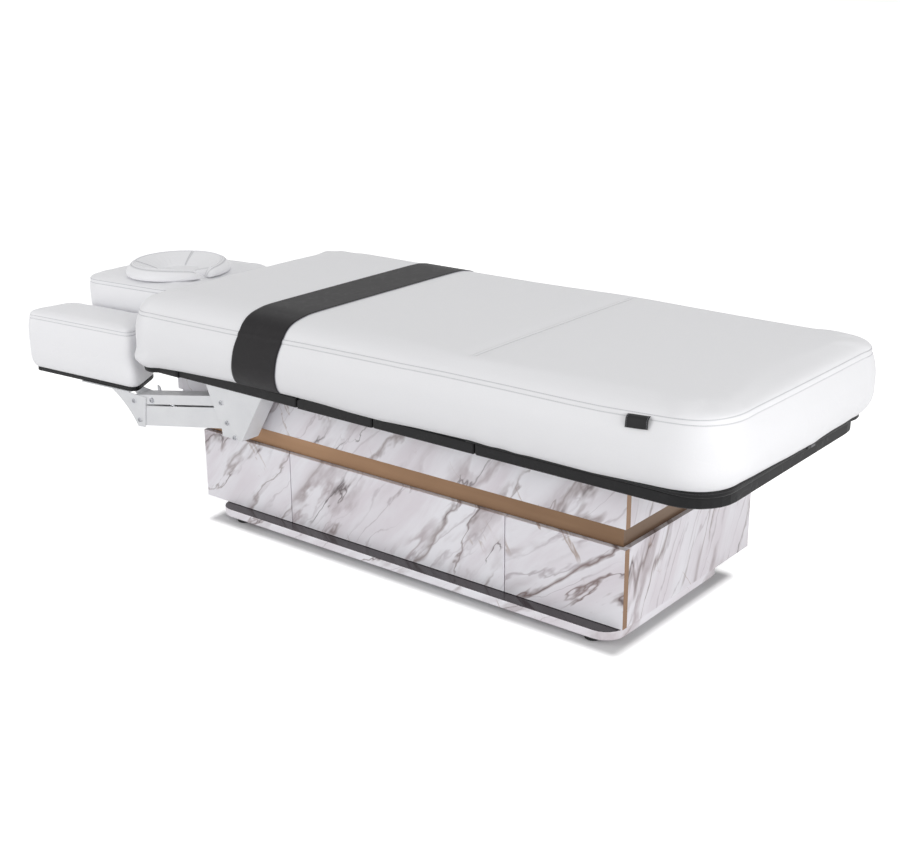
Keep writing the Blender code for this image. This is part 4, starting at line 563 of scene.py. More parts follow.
def bronzeMaterial(name, light=1.0, paintedFootwardShade=0.0, paintedFootFaceShade=1.0):
    # bronze laminate: brushed lines and a cloudy tone under a satin coat, times a painted light level that falls as
    # painted shade from the given level to that level times (1 - the foot-end share) towards the foot end, and times a
    # painted-shade share on the faces that look there
    material, tree, shader, place = startMaterial(name)
    lines = noiseNode(tree, vectorNode(tree, "MULTIPLY", place, (3.0, 3.0, 60.0)), 1.0)
    blotch = noiseNode(tree, place, 3.0)
    tone = mixColor(tree, ranged(tree, lines, 0.3, 0.7), sRgb(166, 130, 98), sRgb(160, 124, 92))
    tone = mixColor(tree, ranged(tree, blotch, 0.3, 0.7, 0.0, 0.35), tone, sRgb(140, 106, 78))
    # painted shade: darker along x towards the foot end, and darker again on the faces that look footwards
    level = times(tree, ranged(tree, axisOf(tree, place, 0), -0.45, 0.85, 1.0, 1.0 - paintedFootwardShade, smooth=False), light)
    level = times(tree, level, ranged(tree, facing(tree, 0), 0.4, 0.6, 1.0, paintedFootFaceShade))
    tree.links.new(mixColor(tree, level, rgb(0, 0, 0), tone), shader.inputs["Base Color"])
    tree.links.new(ranged(tree, blotch, 0.3, 0.7, 0.30, 0.40), shader.inputs["Roughness"])
    shader.inputs["Metallic"].default_value = 0.55
    bumpInto(tree, shader, lines, 0.08, 0.0002)
    return material


def plinthMaterial(name):
    # dark gloss on top, where the face looks up by more than 0.6, and the marble print round its edge
    material, tree, shader, place = startMaterial(name)
    marble = useGroup(tree, marblePrint, Place=place, Shift=(3.3, 1.1, 0.0), Slope=0.5)
    marks = useGroup(tree, handlingMarks, Place=place, Smudge_Size=7.0)
    upper = mathNode(tree, "GREATER_THAN", facing(tree, 2), 0.6)
    dark = mixColor(tree, ranged(tree, marks["Gloss Shift"], -0.3, 0.4), sRgb(60, 53, 58), sRgb(44, 38, 43))
    tree.links.new(mixColor(tree, upper, marble["Color"], dark), shader.inputs["Base Color"])
    gloss = plus(tree, times(tree, marks["Gloss Shift"], 0.10), 0.20)
    tree.links.new(plus(tree, gloss, times(tree, upper, -0.04)), shader.inputs["Roughness"])
    bumpInto(tree, shader, marks["Height"], 0.05, 0.0002)
    return material


white = leatherMaterial("whiteLeatherette", sRgb(238, 238, 240), sRgb(226, 226, 229), 0.44, 0.0006, seam=0.30)
# the pads' leatherette: softer creases, and painted light: a lighter copy of the mattress white
whiteSoftPaintedLight = leatherMaterial("whiteLeatheretteSoftPaintedLight", sRgb(246, 246, 248), sRgb(234, 234, 238), 0.42, 0.0008,
                            creases=0.5, seam=0.28)
blackVinyl = leatherMaterial("blackVinyl", sRgb(13, 13, 15), sRgb(8, 8, 10), 0.50, 0.0005, 700.0, 0.6, gloss=0.22)
blackBand = leatherMaterial("blackBand", sRgb(30, 28, 30), sRgb(22, 21, 23), 0.60, 0.0004, 800.0, 0.15, gloss=0.2)
tagWeave = leatherMaterial("tagWeave", sRgb(22, 22, 24), sRgb(14, 14, 16), 0.55, 0.0003, 1500.0, 0.0, gloss=0.25)
threadGrey = paintMaterial("thread", sRgb(186, 186, 192), 0.7)
threadDark = paintMaterial("threadDark", sRgb(150, 150, 156), 0.7)
greyPaint = paintMaterial("armPaint", sRgb(228, 229, 231), 0.38)
framePaint = paintMaterial("framePaint", sRgb(198, 200, 203), 0.42)
columnPaint = paintMaterial("columnPaint", sRgb(188, 190, 194), 0.36, 0.3)
steel = paintMaterial("brightSteel", sRgb(196, 198, 202), 0.22, 1.0, 900.0)
housing = paintMaterial("blackHousing", sRgb(30, 30, 32), 0.45)
rubber = paintMaterial("footRubber", sRgb(24, 24, 25), 0.62)
trayBoard = paintMaterial("trayBoard", sRgb(196, 194, 192), 0.55)
# the trims' bronze at a lower painted light level; the band's bronze with painted shade towards the foot end and on its
# foot face
bronze = bronzeMaterial("bronzeLaminate", 0.72)
paintedShadeBandBronze = bronzeMaterial("bronzeBandPaintedShade", 0.96, 0.48, 0.75)
screwSteel = paintMaterial("screwSteel", sRgb(168, 169, 173), 0.34, 0.5, 900.0)
gunmetal = paintMaterial("gunmetal", sRgb(96, 96, 100), 0.35, 0.9, 900.0)
print("materials made")

marbleLooks = {
    # shift, slope, strength of the veins, share of painted shade over the whole print (darker on panels that get less
    # light)
    "drawer_front_head": ((0.0, 0.0, 0.0), 0.80, 0.95, 0.0),
    "drawer_front_middle": ((1.37, 0.21, 0.0), 0.86, 1.15, 0.03),
    "drawer_front_foot": ((2.71, 0.43, 0.0), 0.62, 1.45, 0.06),
    "frieze_near": ((4.13, 0.77, 0.0), 0.90, 1.0, 0.05), "frieze_far": ((5.9, 0.3, 0.0), 0.90, 1.0, 0.05),
    "frieze_foot": ((6.4, 1.2, 0.0), 1.20, 1.1, 0.10), "frieze_head": ((7.7, 0.5, 0.0), 0.90, 1.0, 0.05),
    "end_panel_foot": ((8.3, 0.9, 0.0), 1.22, 1.2, 0.12), "end_panel_head": ((9.6, 0.2, 0.0), 0.90, 1.0, 0.05),
    "far_panel": ((11.2, 0.6, 0.0), 0.90, 1.0, 0.05),
}
finishes = {
    "band_deck": paintedShadeBandBronze, "plinth": plinthMaterial("plinthSlab"), "lift_frame": framePaint,
    "back_frame": framePaint, "thigh_frame": framePaint, "calf_frame": framePaint, "headrest_slide": steel,
    "back_actuator": housing, "leg_actuator": housing, "back_actuator_rod": steel, "leg_actuator_rod": steel,
    "headrest_board": blackVinyl,
}
startsWith = {
    "foot_pad": rubber, "divider": trayBoard, "drawer_tray": trayBoard, "column_outer": columnPaint,
    "column_middle": steel, "board_": blackVinyl, "arm_frame": greyPaint, "upper_arm": greyPaint,
    "lower_arm": greyPaint, "gusset": greyPaint, "strut_tube": housing, "strut_rod": steel,
}
for name, look in marbleLooks.items():
    finishes[name] = marbleMaterial("marble_" + name, *look)
for name in nodes:
    for start, material in startsWith.items():
        if name.startswith(start):
            finishes[name] = material
for name, material in finishes.items():
    nodes[name].data.materials.clear()
    nodes[name].data.materials.append(material)
print("finishes on the packed parts")

# the mattress: the two sewn lines and the lower lip follow the heights given along the sides and the foot end
mattress = {
    "x": (-0.670, 1.1805), "y": (-0.413, 0.413), "corners": (0.080, 0.115), "cornerSteps": 8, "cell": 0.014,
    "shoulder": 0.066, "crown": 0.6440, "floor": 0.4452, "dome": 0.0015, "groove": 0.0016,
    "stitchX": (-0.54, -0.38, -0.28, 0.0, 0.2, 0.32, 0.45, 0.62, 0.8, 0.885, 0.95, 1.034, 1.08),
    "stitchZ": (0.590, 0.592, 0.5935, 0.602, 0.6055, 0.607, 0.610, 0.611, 0.611, 0.612, 0.615, 0.619, 0.622),
    "stitchY": (-0.25, -0.06, 0.15, 0.30), "stitchEnd": (0.6277, 0.6245, 0.622, 0.621),
    "stitchGap": (0.0105, 0.0135),
    "lipX": (-0.63, -0.49, -0.29, -0.07, 0.04, 0.14, 0.24, 0.34, 0.43, 0.52, 0.57, 0.61, 0.65, 0.69, 0.86, 0.93,
             1.046, 1.08),
    "lipZ": (0.4250, 0.4345, 0.4430, 0.4461, 0.4454, 0.442, 0.4414, 0.446, 0.4477, 0.4495, 0.4467, 0.4488, 0.446,
             0.448, 0.4468, 0.4500, 0.4545, 0.4575),
    "lipY": (-0.278, -0.22, -0.165, -0.106, -0.046, 0.016, 0.08, 0.11, 0.18, 0.25, 0.31),
    "lipEnd": (0.4600, 0.4570, 0.4555, 0.4535, 0.4505, 0.4495, 0.4465, 0.4495, 0.4515, 0.4505, 0.4520),
    "bulge": 0.010, "tuck": 0.019, "tuckFrom": 0.62, "crossSeams": (0.4855, 0.4955), "cuts": (0.0765, 0.366),
    "cap": 0.0035, "seamWide": 0.0016, "domeReach": 0.05,
    "squarerFoot": 0.016, "squarerHead": 0.012, "squarerLow": 0.020, "seamDeep": 0.0026, "headFall": (0.012, 0.30),
}
stitch = {"pitch": 0.0048, "length": 0.0036, "radius": 0.00042, "lift": 0.0002}


def endWeight(out):
    # 0 on the long sides and the head end, rising round the corners to 1 on the foot end
    return np.maximum(out[:, 0], 0) ** 2


def alongEdge(xs, sideZ, ys, endZ, outline, out):
    # the long sides' height by x, turned smoothly round the corner into the foot end's height by y
    side = np.interp(outline[:, 0], xs, sideZ)
    return side + (np.interp(outline[:, 1], ys, endZ) - side) * endWeight(out)


def upperSeam(outline, out):
    # height of the upper sewn line
    m = mattress
    return alongEdge(m["stitchX"], m["stitchZ"], m["stitchY"], m["stitchEnd"], outline, out)


def lowerSeam(outline, out):
    # height of the lower sewn line: the upper one less the gap, wider on the foot end
    sideGap, endGap = mattress["stitchGap"]
    return upperSeam(outline, out) - sideGap - (endGap - sideGap) * endWeight(out)


def lip(outline, out):
    # height of the lower edge of the white cover
    m = mattress
    return alongEdge(m["lipX"], m["lipZ"], m["lipY"], m["lipEnd"], outline, out)


def between(upper, lower, share, extra=0.0):
    # upper * (1 - share) + lower * share + extra
    return lambda outline, out: upper(outline, out) * (1 - share) + lower(outline, out) * share + extra


def sideInset(share):
    # from the sewn line at share 0 outwards by the bulge, upright, then drawn in under the edge by a steep power
    m = mattress
    swell = m["bulge"] * np.sin(min(share / 0.35, 1.0) * np.pi / 2)
    tuck = (m["bulge"] + m["tuck"]) * max(0.0, (share - m["tuckFrom"]) / (1 - m["tuckFrom"])) ** 2.2
    return 0.0022 - swell + tuck


def crownAt(x):
    # level, falling over the last stretch to the head end by fall * (1 - share) ** 2
    fall, reach = mattress["headFall"]
    share = np.clip((x - mattress["x"][0]) / reach, 0, 1)
    return mattress["crown"] - fall * (1 - share) ** 2


def mattressRows():
    # (inset, height) from the crown over the shoulder, past the two sewn lines, down the side and in under the lip
    m = mattress
    crown = lambda outline, out: crownAt(outline[:, 0])
    above = lambda share: between(crown, upperSeam, share, 0.004 * share)
    rows = [(m["shoulder"], m["crown"]), (0.053, above(0.03)), (0.041, above(0.10)), (0.030, above(0.22)),
            (0.021, above(0.38)), (0.0135, above(0.58)), (0.0085, above(0.80)), (0.0060, above(1.0)),
            (0.0052, between(upperSeam, upperSeam, 0, 0.0018)), (0.0048 + m["groove"], upperSeam),
            (0.0042, between(upperSeam, upperSeam, 0, -0.0018)), (0.0034, between(upperSeam, lowerSeam, 0.5)),
            (0.0032, between(lowerSeam, lowerSeam, 0, 0.0018)), (0.0026 + m["groove"], lowerSeam),
            (0.0020, between(lowerSeam, lowerSeam, 0, -0.0018))]
    for share in (0.06, 0.13, 0.21, 0.30, 0.39, 0.48, 0.56, 0.63, 0.70, 0.76, 0.82, 0.87, 0.915, 0.95, 0.98):
        rows.append((sideInset(share), between(lowerSeam, lip, share)))
    for inset, raised in ((0.0030, -0.0002), (0.0046, -0.0002), (0.0060, 0.0012), (0.0064, 0.005)):
        rows.append((m["tuck"] + inset, between(lip, lip, 0, raised)))
    rows += [(0.034, 0.4475), (m["shoulder"], m["floor"])]
    return rows


def pushed(points, x, y, wayX, wayY, corner, push, low=0.0):
    # one corner made squarer: out along its radius by push * sin(2 angle) * radius / corner, where push grows by low
    # over the last stretch down to the bottom edge
    dx, dy = (points[:, 0] - x) * wayX, (points[:, 1] - y) * wayY
    radius, angle = np.hypot(dx, dy), np.arctan2(dy, dx)
    lowFrom, lowReach = 0.478, 0.030
    push = push + low * np.clip((lowFrom - points[:, 2]) / lowReach, 0, 1)
    far = np.where((dx > 0) & (dy > 0), push * np.sin(2 * angle) * radius / corner, 0.0)
    moved = points.copy()
    moved[:, 0] += wayX * far * np.cos(angle)
    moved[:, 1] += wayY * far * np.sin(angle)
    return moved


def squareCorners(points):
    # the far foot corner and the near head corner are squarer than the others
    m = mattress
    head, foot = m["corners"]
    points = pushed(points, m["x"][1] - foot, m["y"][1] - foot, 1, 1, foot, m["squarerFoot"])
    return pushed(points, m["x"][0] + head, m["y"][0] + head, -1, -1, head, m["squarerHead"], m["squarerLow"])


def mattressCrown(X, Y):
    # the level crown + dome * (1 - exp(-distance to the shoulder / reach)) - two bell-shaped channels where it is sewn
    m = mattress
    edge = np.minimum(np.minimum(X - m["x"][0], m["x"][1] - X), m["y"][1] - np.abs(Y)) - m["shoulder"]
    dome = m["dome"] * (1 - np.exp(-np.maximum(edge, 0) / m["domeReach"]))
    channel = sum(np.exp(-((X - x) / m["seamWide"]) ** 2) for x in m["crossSeams"])
    return crownAt(X) + dome - m["seamDeep"] * channel


a, b = mattress["crossSeams"]  # stations close together at the cross seams, so that their channels stay narrow
mattress["stations"] = [*mattress["cuts"], a - 0.008, a - 0.0035, a - 0.0017, a, a + 0.0017, (a + b) / 2,
                        b - 0.0017, b, b + 0.0017, b + 0.0035, b + 0.008]
whole, build = pillow("mattressWhole", mattress, mattressRows(), mattressCrown, mattress["floor"])
setPoints(whole, squareCorners(getPoints(whole)))
rowCount = len(build["rows"])
upperRow, lowerRow = build["rows"][9], build["rows"][13]  # the two sewn lines among mattressRows
nx, ny = build["grid"]
seamColumns = [int(np.argmin(np.abs(build["xs"] - x))) for x in mattress["crossSeams"]]
seamPoints = np.concatenate([c * ny + np.arange(ny) for c in seamColumns])
resting = np.concatenate(build["rows"][rowCount - 9:] + [np.arange(build["base"], len(whole.data.vertices))])
puff(whole, np.concatenate([upperRow, lowerRow, seamPoints, resting]), mattress["cap"])
markSeams(whole, np.concatenate([upperRow, lowerRow, seamPoints]))
restPoints = getPoints(whole)
loopOut = np.column_stack([build["out"], np.zeros(len(build["out"]))])
seamUp = np.tile([0.0, 0.0, 1.0], (ny, 1))
finishCover(whole)
print("mattress shaped")

headCut, footCut = mattress["cuts"]
zones = {
    # x from and to, the two bodies that it bends between, over which x, and the nodes that it stands for
    "back": {"span": (None, headCut), "bodies": ("back", "top"), "bend": (-0.164, 0.056), "node": ("pad_back",)},
    "seat": {"span": (headCut, footCut), "bodies": ("top", "thigh"), "bend": (0.147, 0.267),
             "node": ("pad_seat", "pad_thigh")},
    "legs": {"span": (footCut, None), "bodies": ("thigh", "calf"), "bend": (0.466, 0.586), "node": ("pad_calf",)},
}


def bendWith(piece, zone):
    # bakes the piece's transform into its mesh, where it stays; the zone's bend and two bodies are looked up but not
    # used
    start, end = zones[zone]["bend"]
    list(zones[zone]["bodies"])
    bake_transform(piece)


def runsInSpan(points, normals, span):
    # the open runs of a closed row that lie inside the span, a stitch and a half past it
    low, high = span
    over = 0.007
    keep = np.ones(len(points), bool)
    if low is not None:
        keep &= points[:, 0] >= low - over
    if high is not None:
        keep &= points[:, 0] <= high + over
    shift = int(np.flatnonzero(~keep)[0])
    points, normals, keep = np.roll(points, -shift, 0), np.roll(normals, -shift, 0), np.roll(keep, -shift)
    edges = np.flatnonzero(np.diff(keep.astype(int)))
    starts = [e + 1 for e in edges if not keep[e]]
    stops = [e + 1 for e in edges if keep[e]] + ([len(keep)] if keep[-1] else [])
    return [(points[s:t], normals[s:t]) for s, t in zip(starts, stops)]


for zone, facts in zones.items():
    part = sliceX(whole, "mattress_" + zone, *facts["span"])
    part.data.materials.append(white)
    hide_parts(*facts["node"])
    bendWith(part, zone)
    count = 0
    for row in (upperRow, lowerRow):
        for points, normals in runsInSpan(restPoints[row], loopOut, facts["span"]):
            thread = stitchRow(f"thread_{zone}_{count}", points, normals, stitch, closed=False)
            thread.data.materials.append(threadGrey)
            bendWith(thread, zone)
            count += 1
for n, column in enumerate(seamColumns):
    thread = stitchRow(f"thread_cross_{n}", restPoints[column * ny + np.arange(ny)], seamUp, stitch, closed=False)
    thread.data.materials.append(threadGrey)
    bendWith(thread, "legs")
print("mattress sewn")

band = {"low": -0.265, "width": 0.160, "slant": 0.040, "lift": 0.0013, "thick": 0.0012, "steps": 26, "piping": 0.0017}


def crossSection():
    # the mattress outline at one x as (y, z), from the near lip over the crown to the far lip
    m = mattress
    outline, out = np.array([[band["low"] + band["width"] / 2, m["y"][0]]]), np.array([[0.0, -1.0]])
    side = np.array([(m["y"][1] - inset, height(outline, out)[0] if callable(height) else height)
                     for inset, height in mattressRows()[:-6]])
    top = np.linspace(side[0, 0], -side[0, 0], 60)[1:-1]
    near = side[::-1] * (-1, 1)
    return np.concatenate([near, np.column_stack([-top, np.full(len(top), m["crown"])]), side])


def bandPoints(x0, x1, steps, lift):
    # across: x from one edge to the other; along: the outline, slanted so that the top lies further footwards
    outline = crossSection()
    run = np.concatenate([[0], np.cumsum(np.linalg.norm(np.diff(outline, axis=0), axis=1))])
    s = np.linspace(0, run[-1], 240)
    y, z = np.interp(s, run, outline[:, 0]), np.interp(s, run, outline[:, 1])
    rise = (z - z.min()) / (z.max() - z.min())
    alongY, alongZ = np.gradient(y), np.gradient(z)
    size = np.hypot(alongY, alongZ)
    outY, outZ = -alongZ / size, alongY / size
    across = np.linspace(x0, x1, steps)
    X = across[None] + (rise * band["slant"])[:, None]
    Y = np.repeat((y + outY * lift)[:, None], steps, 1)
    Z = np.repeat((z + outZ * lift)[:, None], steps, 1)
    return np.stack([X, Y, Z], axis=-1)


def fitted(piece, target, offset):
    # lays a thin piece on the finished cover, the offset above its nearest point
    applyModifier(piece, "SHRINKWRAP", target=target, wrap_method="NEAREST_SURFACEPOINT", wrap_mode="ABOVE_SURFACE",
                  offset=offset)


def tube(name, path, radius, sides=10):
    # a round section carried along the path: path + radius * (side * cos(angle) + up * sin(angle)), closed at both ends
    tangent = np.gradient(path, axis=0)
    tangent /= np.maximum(np.linalg.norm(tangent, axis=1, keepdims=True), 1e-9)
    helper = np.where(np.abs(tangent[:, 2:3]) > 0.9, [[1.0, 0, 0]], [[0, 0, 1.0]])
    side = np.cross(tangent, helper)
    side /= np.linalg.norm(side, axis=1, keepdims=True)
    up = np.cross(side, tangent)
    angle = np.arange(sides) * 2 * np.pi / sides
    ring = path[:, None] + radius * (side[:, None] * np.cos(angle)[:, None] + up[:, None] * np.sin(angle)[:, None])
    total = len(path) * sides
    caps = [list(range(sides))[::-1], list(range(total - sides, total))]
    return outwards(linkMesh(name, ring.reshape(-1, 3), list(gridFaces(len(path), sides, wrapCols=True)) + caps))


# the black rim under the cover: a zip's tape with teeth at the foot end, and a plain strip round the near head corner
zipper = {
    "inset": 0.0212, "low": 0.4447, "over": 0.0035, "thick": 0.0009, "from": 0.50,
    # share of the strip's height, and how much further in than the inset
    "rows": ((0.0, 0.0010), (0.12, 0.0002), (0.5, -0.0003), (0.85, 0.0004), (1.0, 0.0016)),
    "headTo": -0.50, "headSide": -0.20, "headLow": 0.4150, "ledge": (0.050, 0.0016),
    "teethFrom": 0.60, "stop": 0.050, "tooth": {"pitch": 0.0030, "length": 0.0019, "radius": 0.0013, "lift": 0.0004},
    "slider": ((1.1590, 0.043, 0.4452), (1.1665, 0.058, 0.4535)),
    "pull": ((1.1660, 0.056, 0.4462), (1.1676, 0.078, 0.4516)),
}


def rimStrip(name, keep, low, under=()):
    # the mattress outline drawn in by the inset: a ledge at the height low where one is asked for, then a strip that
    # stands from there to just over the lip
    z = zipper
    outline, out = build["outline"][keep], build["out"][keep]
    top = lip(outline, out) + z["over"]
    rows = [np.column_stack([outline - out * (z["inset"] + inset), np.full(len(outline), low)]) for inset in under]
    for share, inset in z["rows"]:
        rows.append(np.column_stack([outline - out * (z["inset"] + inset), low + (top - low) * share]))
    strip = linkMesh(name, squareCorners(np.concatenate(rows)), gridFaces(len(rows), len(outline)))
    applyModifier(strip, "SOLIDIFY", thickness=z["thick"], offset=-1.0)
    return outwards(strip), outline, out, rows[-3]


outlineX, outlineY = build["outline"].T
order = np.arange(len(outlineX))
tape, zipOutline, zipOut, zipMiddle = rimStrip("zipTape", (outlineX > zipper["from"]) & (order > 0), zipper["low"])
atHead = np.flatnonzero((outlineX < zipper["headTo"]) & (outlineY < zipper["headSide"]))
onSide = atHead < len(order) / 2  # the outline starts at this corner, so its last points come before its first
atHead = np.concatenate([atHead[~onSide], atHead[onSide]])
headRim = rimStrip("headRim", atHead, zipper["headLow"], zipper["ledge"])[0]
hasTeeth = (zipOutline[:, 0] > zipper["teethFrom"]) & (zipOutline[:, 1] < zipper["stop"])
zipTeeth = stitchRow("zipTeeth", zipMiddle[hasTeeth], np.column_stack([zipOut, np.zeros(len(zipOut))])[hasTeeth],
                     zipper["tooth"], closed=False)
for piece, material, zone in ((tape, blackVinyl, "legs"), (zipTeeth, housing, "legs"), (headRim, blackVinyl, "back")):
    piece.data.materials.append(material)
    bendWith(piece, zone)

tag = {
    "x": (0.9548, 1.0105), "low": (0.5830, 0.5880), "high": (0.6105, 0.6145), "thick": 0.0009, "steps": (20, 12),
    "shares": (0.0, 0.5, 0.8, 0.93, 1.0), "depths": (-0.4212, -0.4200, -0.4180, -0.4140, -0.4100), "wave": 0.0004,
    "stitch": {**stitch, "lift": 0.0010, "pitch": 0.0032, "length": 0.0022},
}


def tagSheet():
    # a small slanted rectangle that hangs from the seam down the side: y from its share of the height, with a
    # faint wave along it
    t = tag
    u, v = np.meshgrid(np.linspace(0, 1, t["steps"][0]), np.linspace(0, 1, t["steps"][1]), indexing="ij")
    low, high = np.interp(u, [0, 1], t["low"]), np.interp(u, [0, 1], t["high"])
    y = np.interp(v, t["shares"], t["depths"]) + t["wave"] * np.sin(u * 7.0)
    points = np.stack([t["x"][0] + (t["x"][1] - t["x"][0]) * u, y, low + (high - low) * v], axis=-1)
    return linkMesh("tag", points.reshape(-1, 3), gridFaces(*t["steps"]))


tagPiece = tagSheet()
sheet = bandPoints(band["low"], band["low"] + band["width"], band["steps"], band["lift"])
strap = linkMesh("blackBand", sheet.reshape(-1, 3), gridFaces(sheet.shape[0], sheet.shape[1])[:, ::-1])
fitted(strap, whole, band["lift"])
applyModifier(strap, "SOLIDIFY", thickness=band["thick"], offset=1.0)
strap.data.materials.append(blackBand)
shadeSmooth(strap)
bendWith(strap, "back")
for n, x in enumerate((band["low"], band["low"] + band["width"])):
    line = bandPoints(x - 0.0005, x + 0.0005, 2, band["lift"]).mean(axis=1)
    guide = linkMesh("guide", line, [])
    fitted(guide, whole, band["piping"] * 0.6)
    cord = tube(f"bandPiping_{n}", getPoints(guide), band["piping"] / 2)
    bpy.data.objects.remove(guide)
    cord.data.materials.append(threadDark)
    bendWith(cord, "back")
tagGrid = getPoints(tagPiece).reshape(*tag["steps"], 3)
applyModifier(tagPiece, "SOLIDIFY", thickness=tag["thick"], offset=1.0)
outwards(tagPiece)
tagPiece.data.materials.append(tagWeave)
for n, column in enumerate((1, tag["steps"][0] - 2)):
    path = tagGrid[column]
    sewing = stitchRow(f"tagThread_{n}", path, np.tile([0.0, -1.0, 0.0], (len(path), 1)), tag["stitch"], closed=False)
    sewing.data.materials.append(threadDark)
    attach(sewing, "calf")
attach(tagPiece, "calf")
bpy.data.objects.remove(whole)
print("band laid, tag sewn on")


def boxPadRows(pad):
    # from the crown down: a round shoulder, two sewn lines, then a side that swells and tucks in at the board
    top, floor = pad["top"], pad["floor"]
    up, low = top - pad["stitchDrop"], top - pad["stitchDrop"] - pad["stitchGap"]
    g, shoulder = pad["groove"], pad["shoulder"]
    rows = [(shoulder, top)]
    for share in (0.12, 0.28, 0.46, 0.64, 0.82):
        angle = share * np.pi / 2
        fallen = (pad["stitchDrop"] - 0.003) * (1 - np.cos(angle))
        rows.append((shoulder - (shoulder - 0.004) * np.sin(angle), top - fallen))
    rows += [(0.0034, up + 0.0017), (0.0030 + g, up), (0.0026, up - 0.0017), (0.0022, (up + low) / 2),
             (0.0021, low + 0.0017), (0.0018 + g, low), (0.0014, low - 0.0017)]
    below, above = pad["bulge"]

    def swollen(share):
        # the tuck less the swell of the side that faces -Y or +Y, and a fifth of it at the ends
        rise = np.sin(min(share / 0.4, 1.0) * np.pi / 2)
        drawn = max(0.0, (share - pad["tuckFrom"]) / (1 - pad["tuckFrom"])) ** 2.2

        def inset(outline, out):
            # how far the row is drawn in from the outline
            swell = below * np.maximum(-out[:, 1], 0) + above * np.maximum(out[:, 1], 0)
            return pad["tuck"] * drawn - rise * (1 - drawn) * (swell + 0.2 * max(below, above) * np.abs(out[:, 0]))
        return inset

    for share in np.linspace(0.08, 0.97, pad["sideSteps"]):
        rows.append((swollen(share), low + (floor - low) * share))
    rows += [(pad["tuck"] + 0.003, floor), (pad["tuck"] + 0.010, floor), (shoulder, floor)]
    return rows


def boxPad(name, pad, slant=None):
    # a box cushion with two sewn lines round it, puffed up, and its threads
    def crown(X, Y):
        # the top + dome * (1 - exp(-distance to the shoulder / reach))
        lowX, highX = pad["x"]
        lowY, highY = pad["y"]
        edge = np.minimum(np.minimum(X - lowX, highX - X), np.minimum(Y - lowY, highY - Y)) - pad["shoulder"]
        return pad["top"] + pad["dome"] * (1 - np.exp(-np.maximum(edge, 0) / pad["domeReach"]))

    piece, made = pillow(name, pad, boxPadRows(pad), crown, pad["floor"])
    if slant:
        setPoints(piece, slant(getPoints(piece)))
    seams = (made["rows"][7], made["rows"][11])  # the two sewn lines among boxPadRows
    resting = np.concatenate(made["rows"][-4:] + [np.arange(made["base"], len(piece.data.vertices))])
    puff(piece, np.concatenate([*seams, resting]), pad["cap"])
    markSeams(piece, np.concatenate(seams))
    points = getPoints(piece)
    normals = np.column_stack([made["out"], np.zeros(len(made["out"]))])
    finishCover(piece)
    piece.data.materials.append(whiteSoftPaintedLight)
    threads = []
    for n, seam in enumerate(seams):
        thread = stitchRow(f"{name}_thread_{n}", points[seam], normals, stitch)
        thread.data.materials.append(threadGrey)
        threads.append(thread)
    return piece, threads


def tilted(pieces, pivot, degrees):
    # turns finished meshes about a line across the table
    turn = Matrix.Rotation(np.radians(degrees), 4, "Y")
    turn = Matrix.Translation(pivot) @ turn @ Matrix.Translation(-Vector(pivot))
    for piece in pieces:
        piece.data.transform(turn)
    return pieces


headPad = {
    "x": (-1.150, -0.700), "y": (-0.215, 0.215), "corners": (0.085, 0.085), "cornerSteps": 7, "cell": 0.010,
    "shoulder": 0.045, "top": 0.6000, "floor": 0.4861,
    "stitchDrop": 0.0075, "stitchGap": 0.010, "groove": 0.0013, "sideSteps": 9,
    "tuck": 0.010, "tuckFrom": 0.60, "bulge": (0.002, 0.002), "dome": 0.0100, "domeReach": 0.05, "cap": 0.003,
    "pivot": (-0.700, 0.0, 0.462), "tilt": -2.0,
}
pad, threads = boxPad("headrestPad", headPad)
tilted([pad, *threads], headPad["pivot"], headPad["tilt"])
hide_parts("headrest_pad")
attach(pad, "headrest")
for thread in threads:
    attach(thread, "headrest")

armPad = {
    "x": (-1.1930, -0.692), "corners": (0.040, 0.040), "cornerSteps": 5, "cell": 0.011, "shoulder": 0.034,
    "top": 0.5130, "floor": 0.3346, "stitchDrop": 0.015, "stitchGap": 0.009, "groove": 0.0013, "sideSteps": 12,
    "tuck": 0.006, "tuckFrom": 0.78, "dome": 0.0065, "domeReach": 0.03, "cap": 0.0025, "swell": 0.005,
    "inner": 0.222, "outer": 0.390, "middle": -0.941, "length": 0.502,
    "pivot": (-0.93525, 0.0, 0.3305), "tilt": -1.97, "board": 0.0118, "boardInset": 0.009, "boardGap": 0.0003,
    "footSlant": 0.105, "headSlant": 0.035, "squarer": 0.007,
}


def slantEnds(points):
    # x less slant * share of the way inwards * share of the way from the middle to the end
    a = armPad
    inward = (a["outer"] - np.abs(points[:, 1])) / (a["outer"] - a["inner"])
    share = (points[:, 0] - a["middle"]) * 2 / a["length"]
    slant = np.where(share > 0, a["footSlant"], a["headSlant"])
    moved = points.copy()
    moved[:, 0] -= slant * inward * share
    corner = a["corners"][0]
    for side in (-1, 1):
        moved = pushed(moved, a["x"][0] + corner, side * (a["outer"] - corner), -1, side, corner, a["squarer"])
    return moved


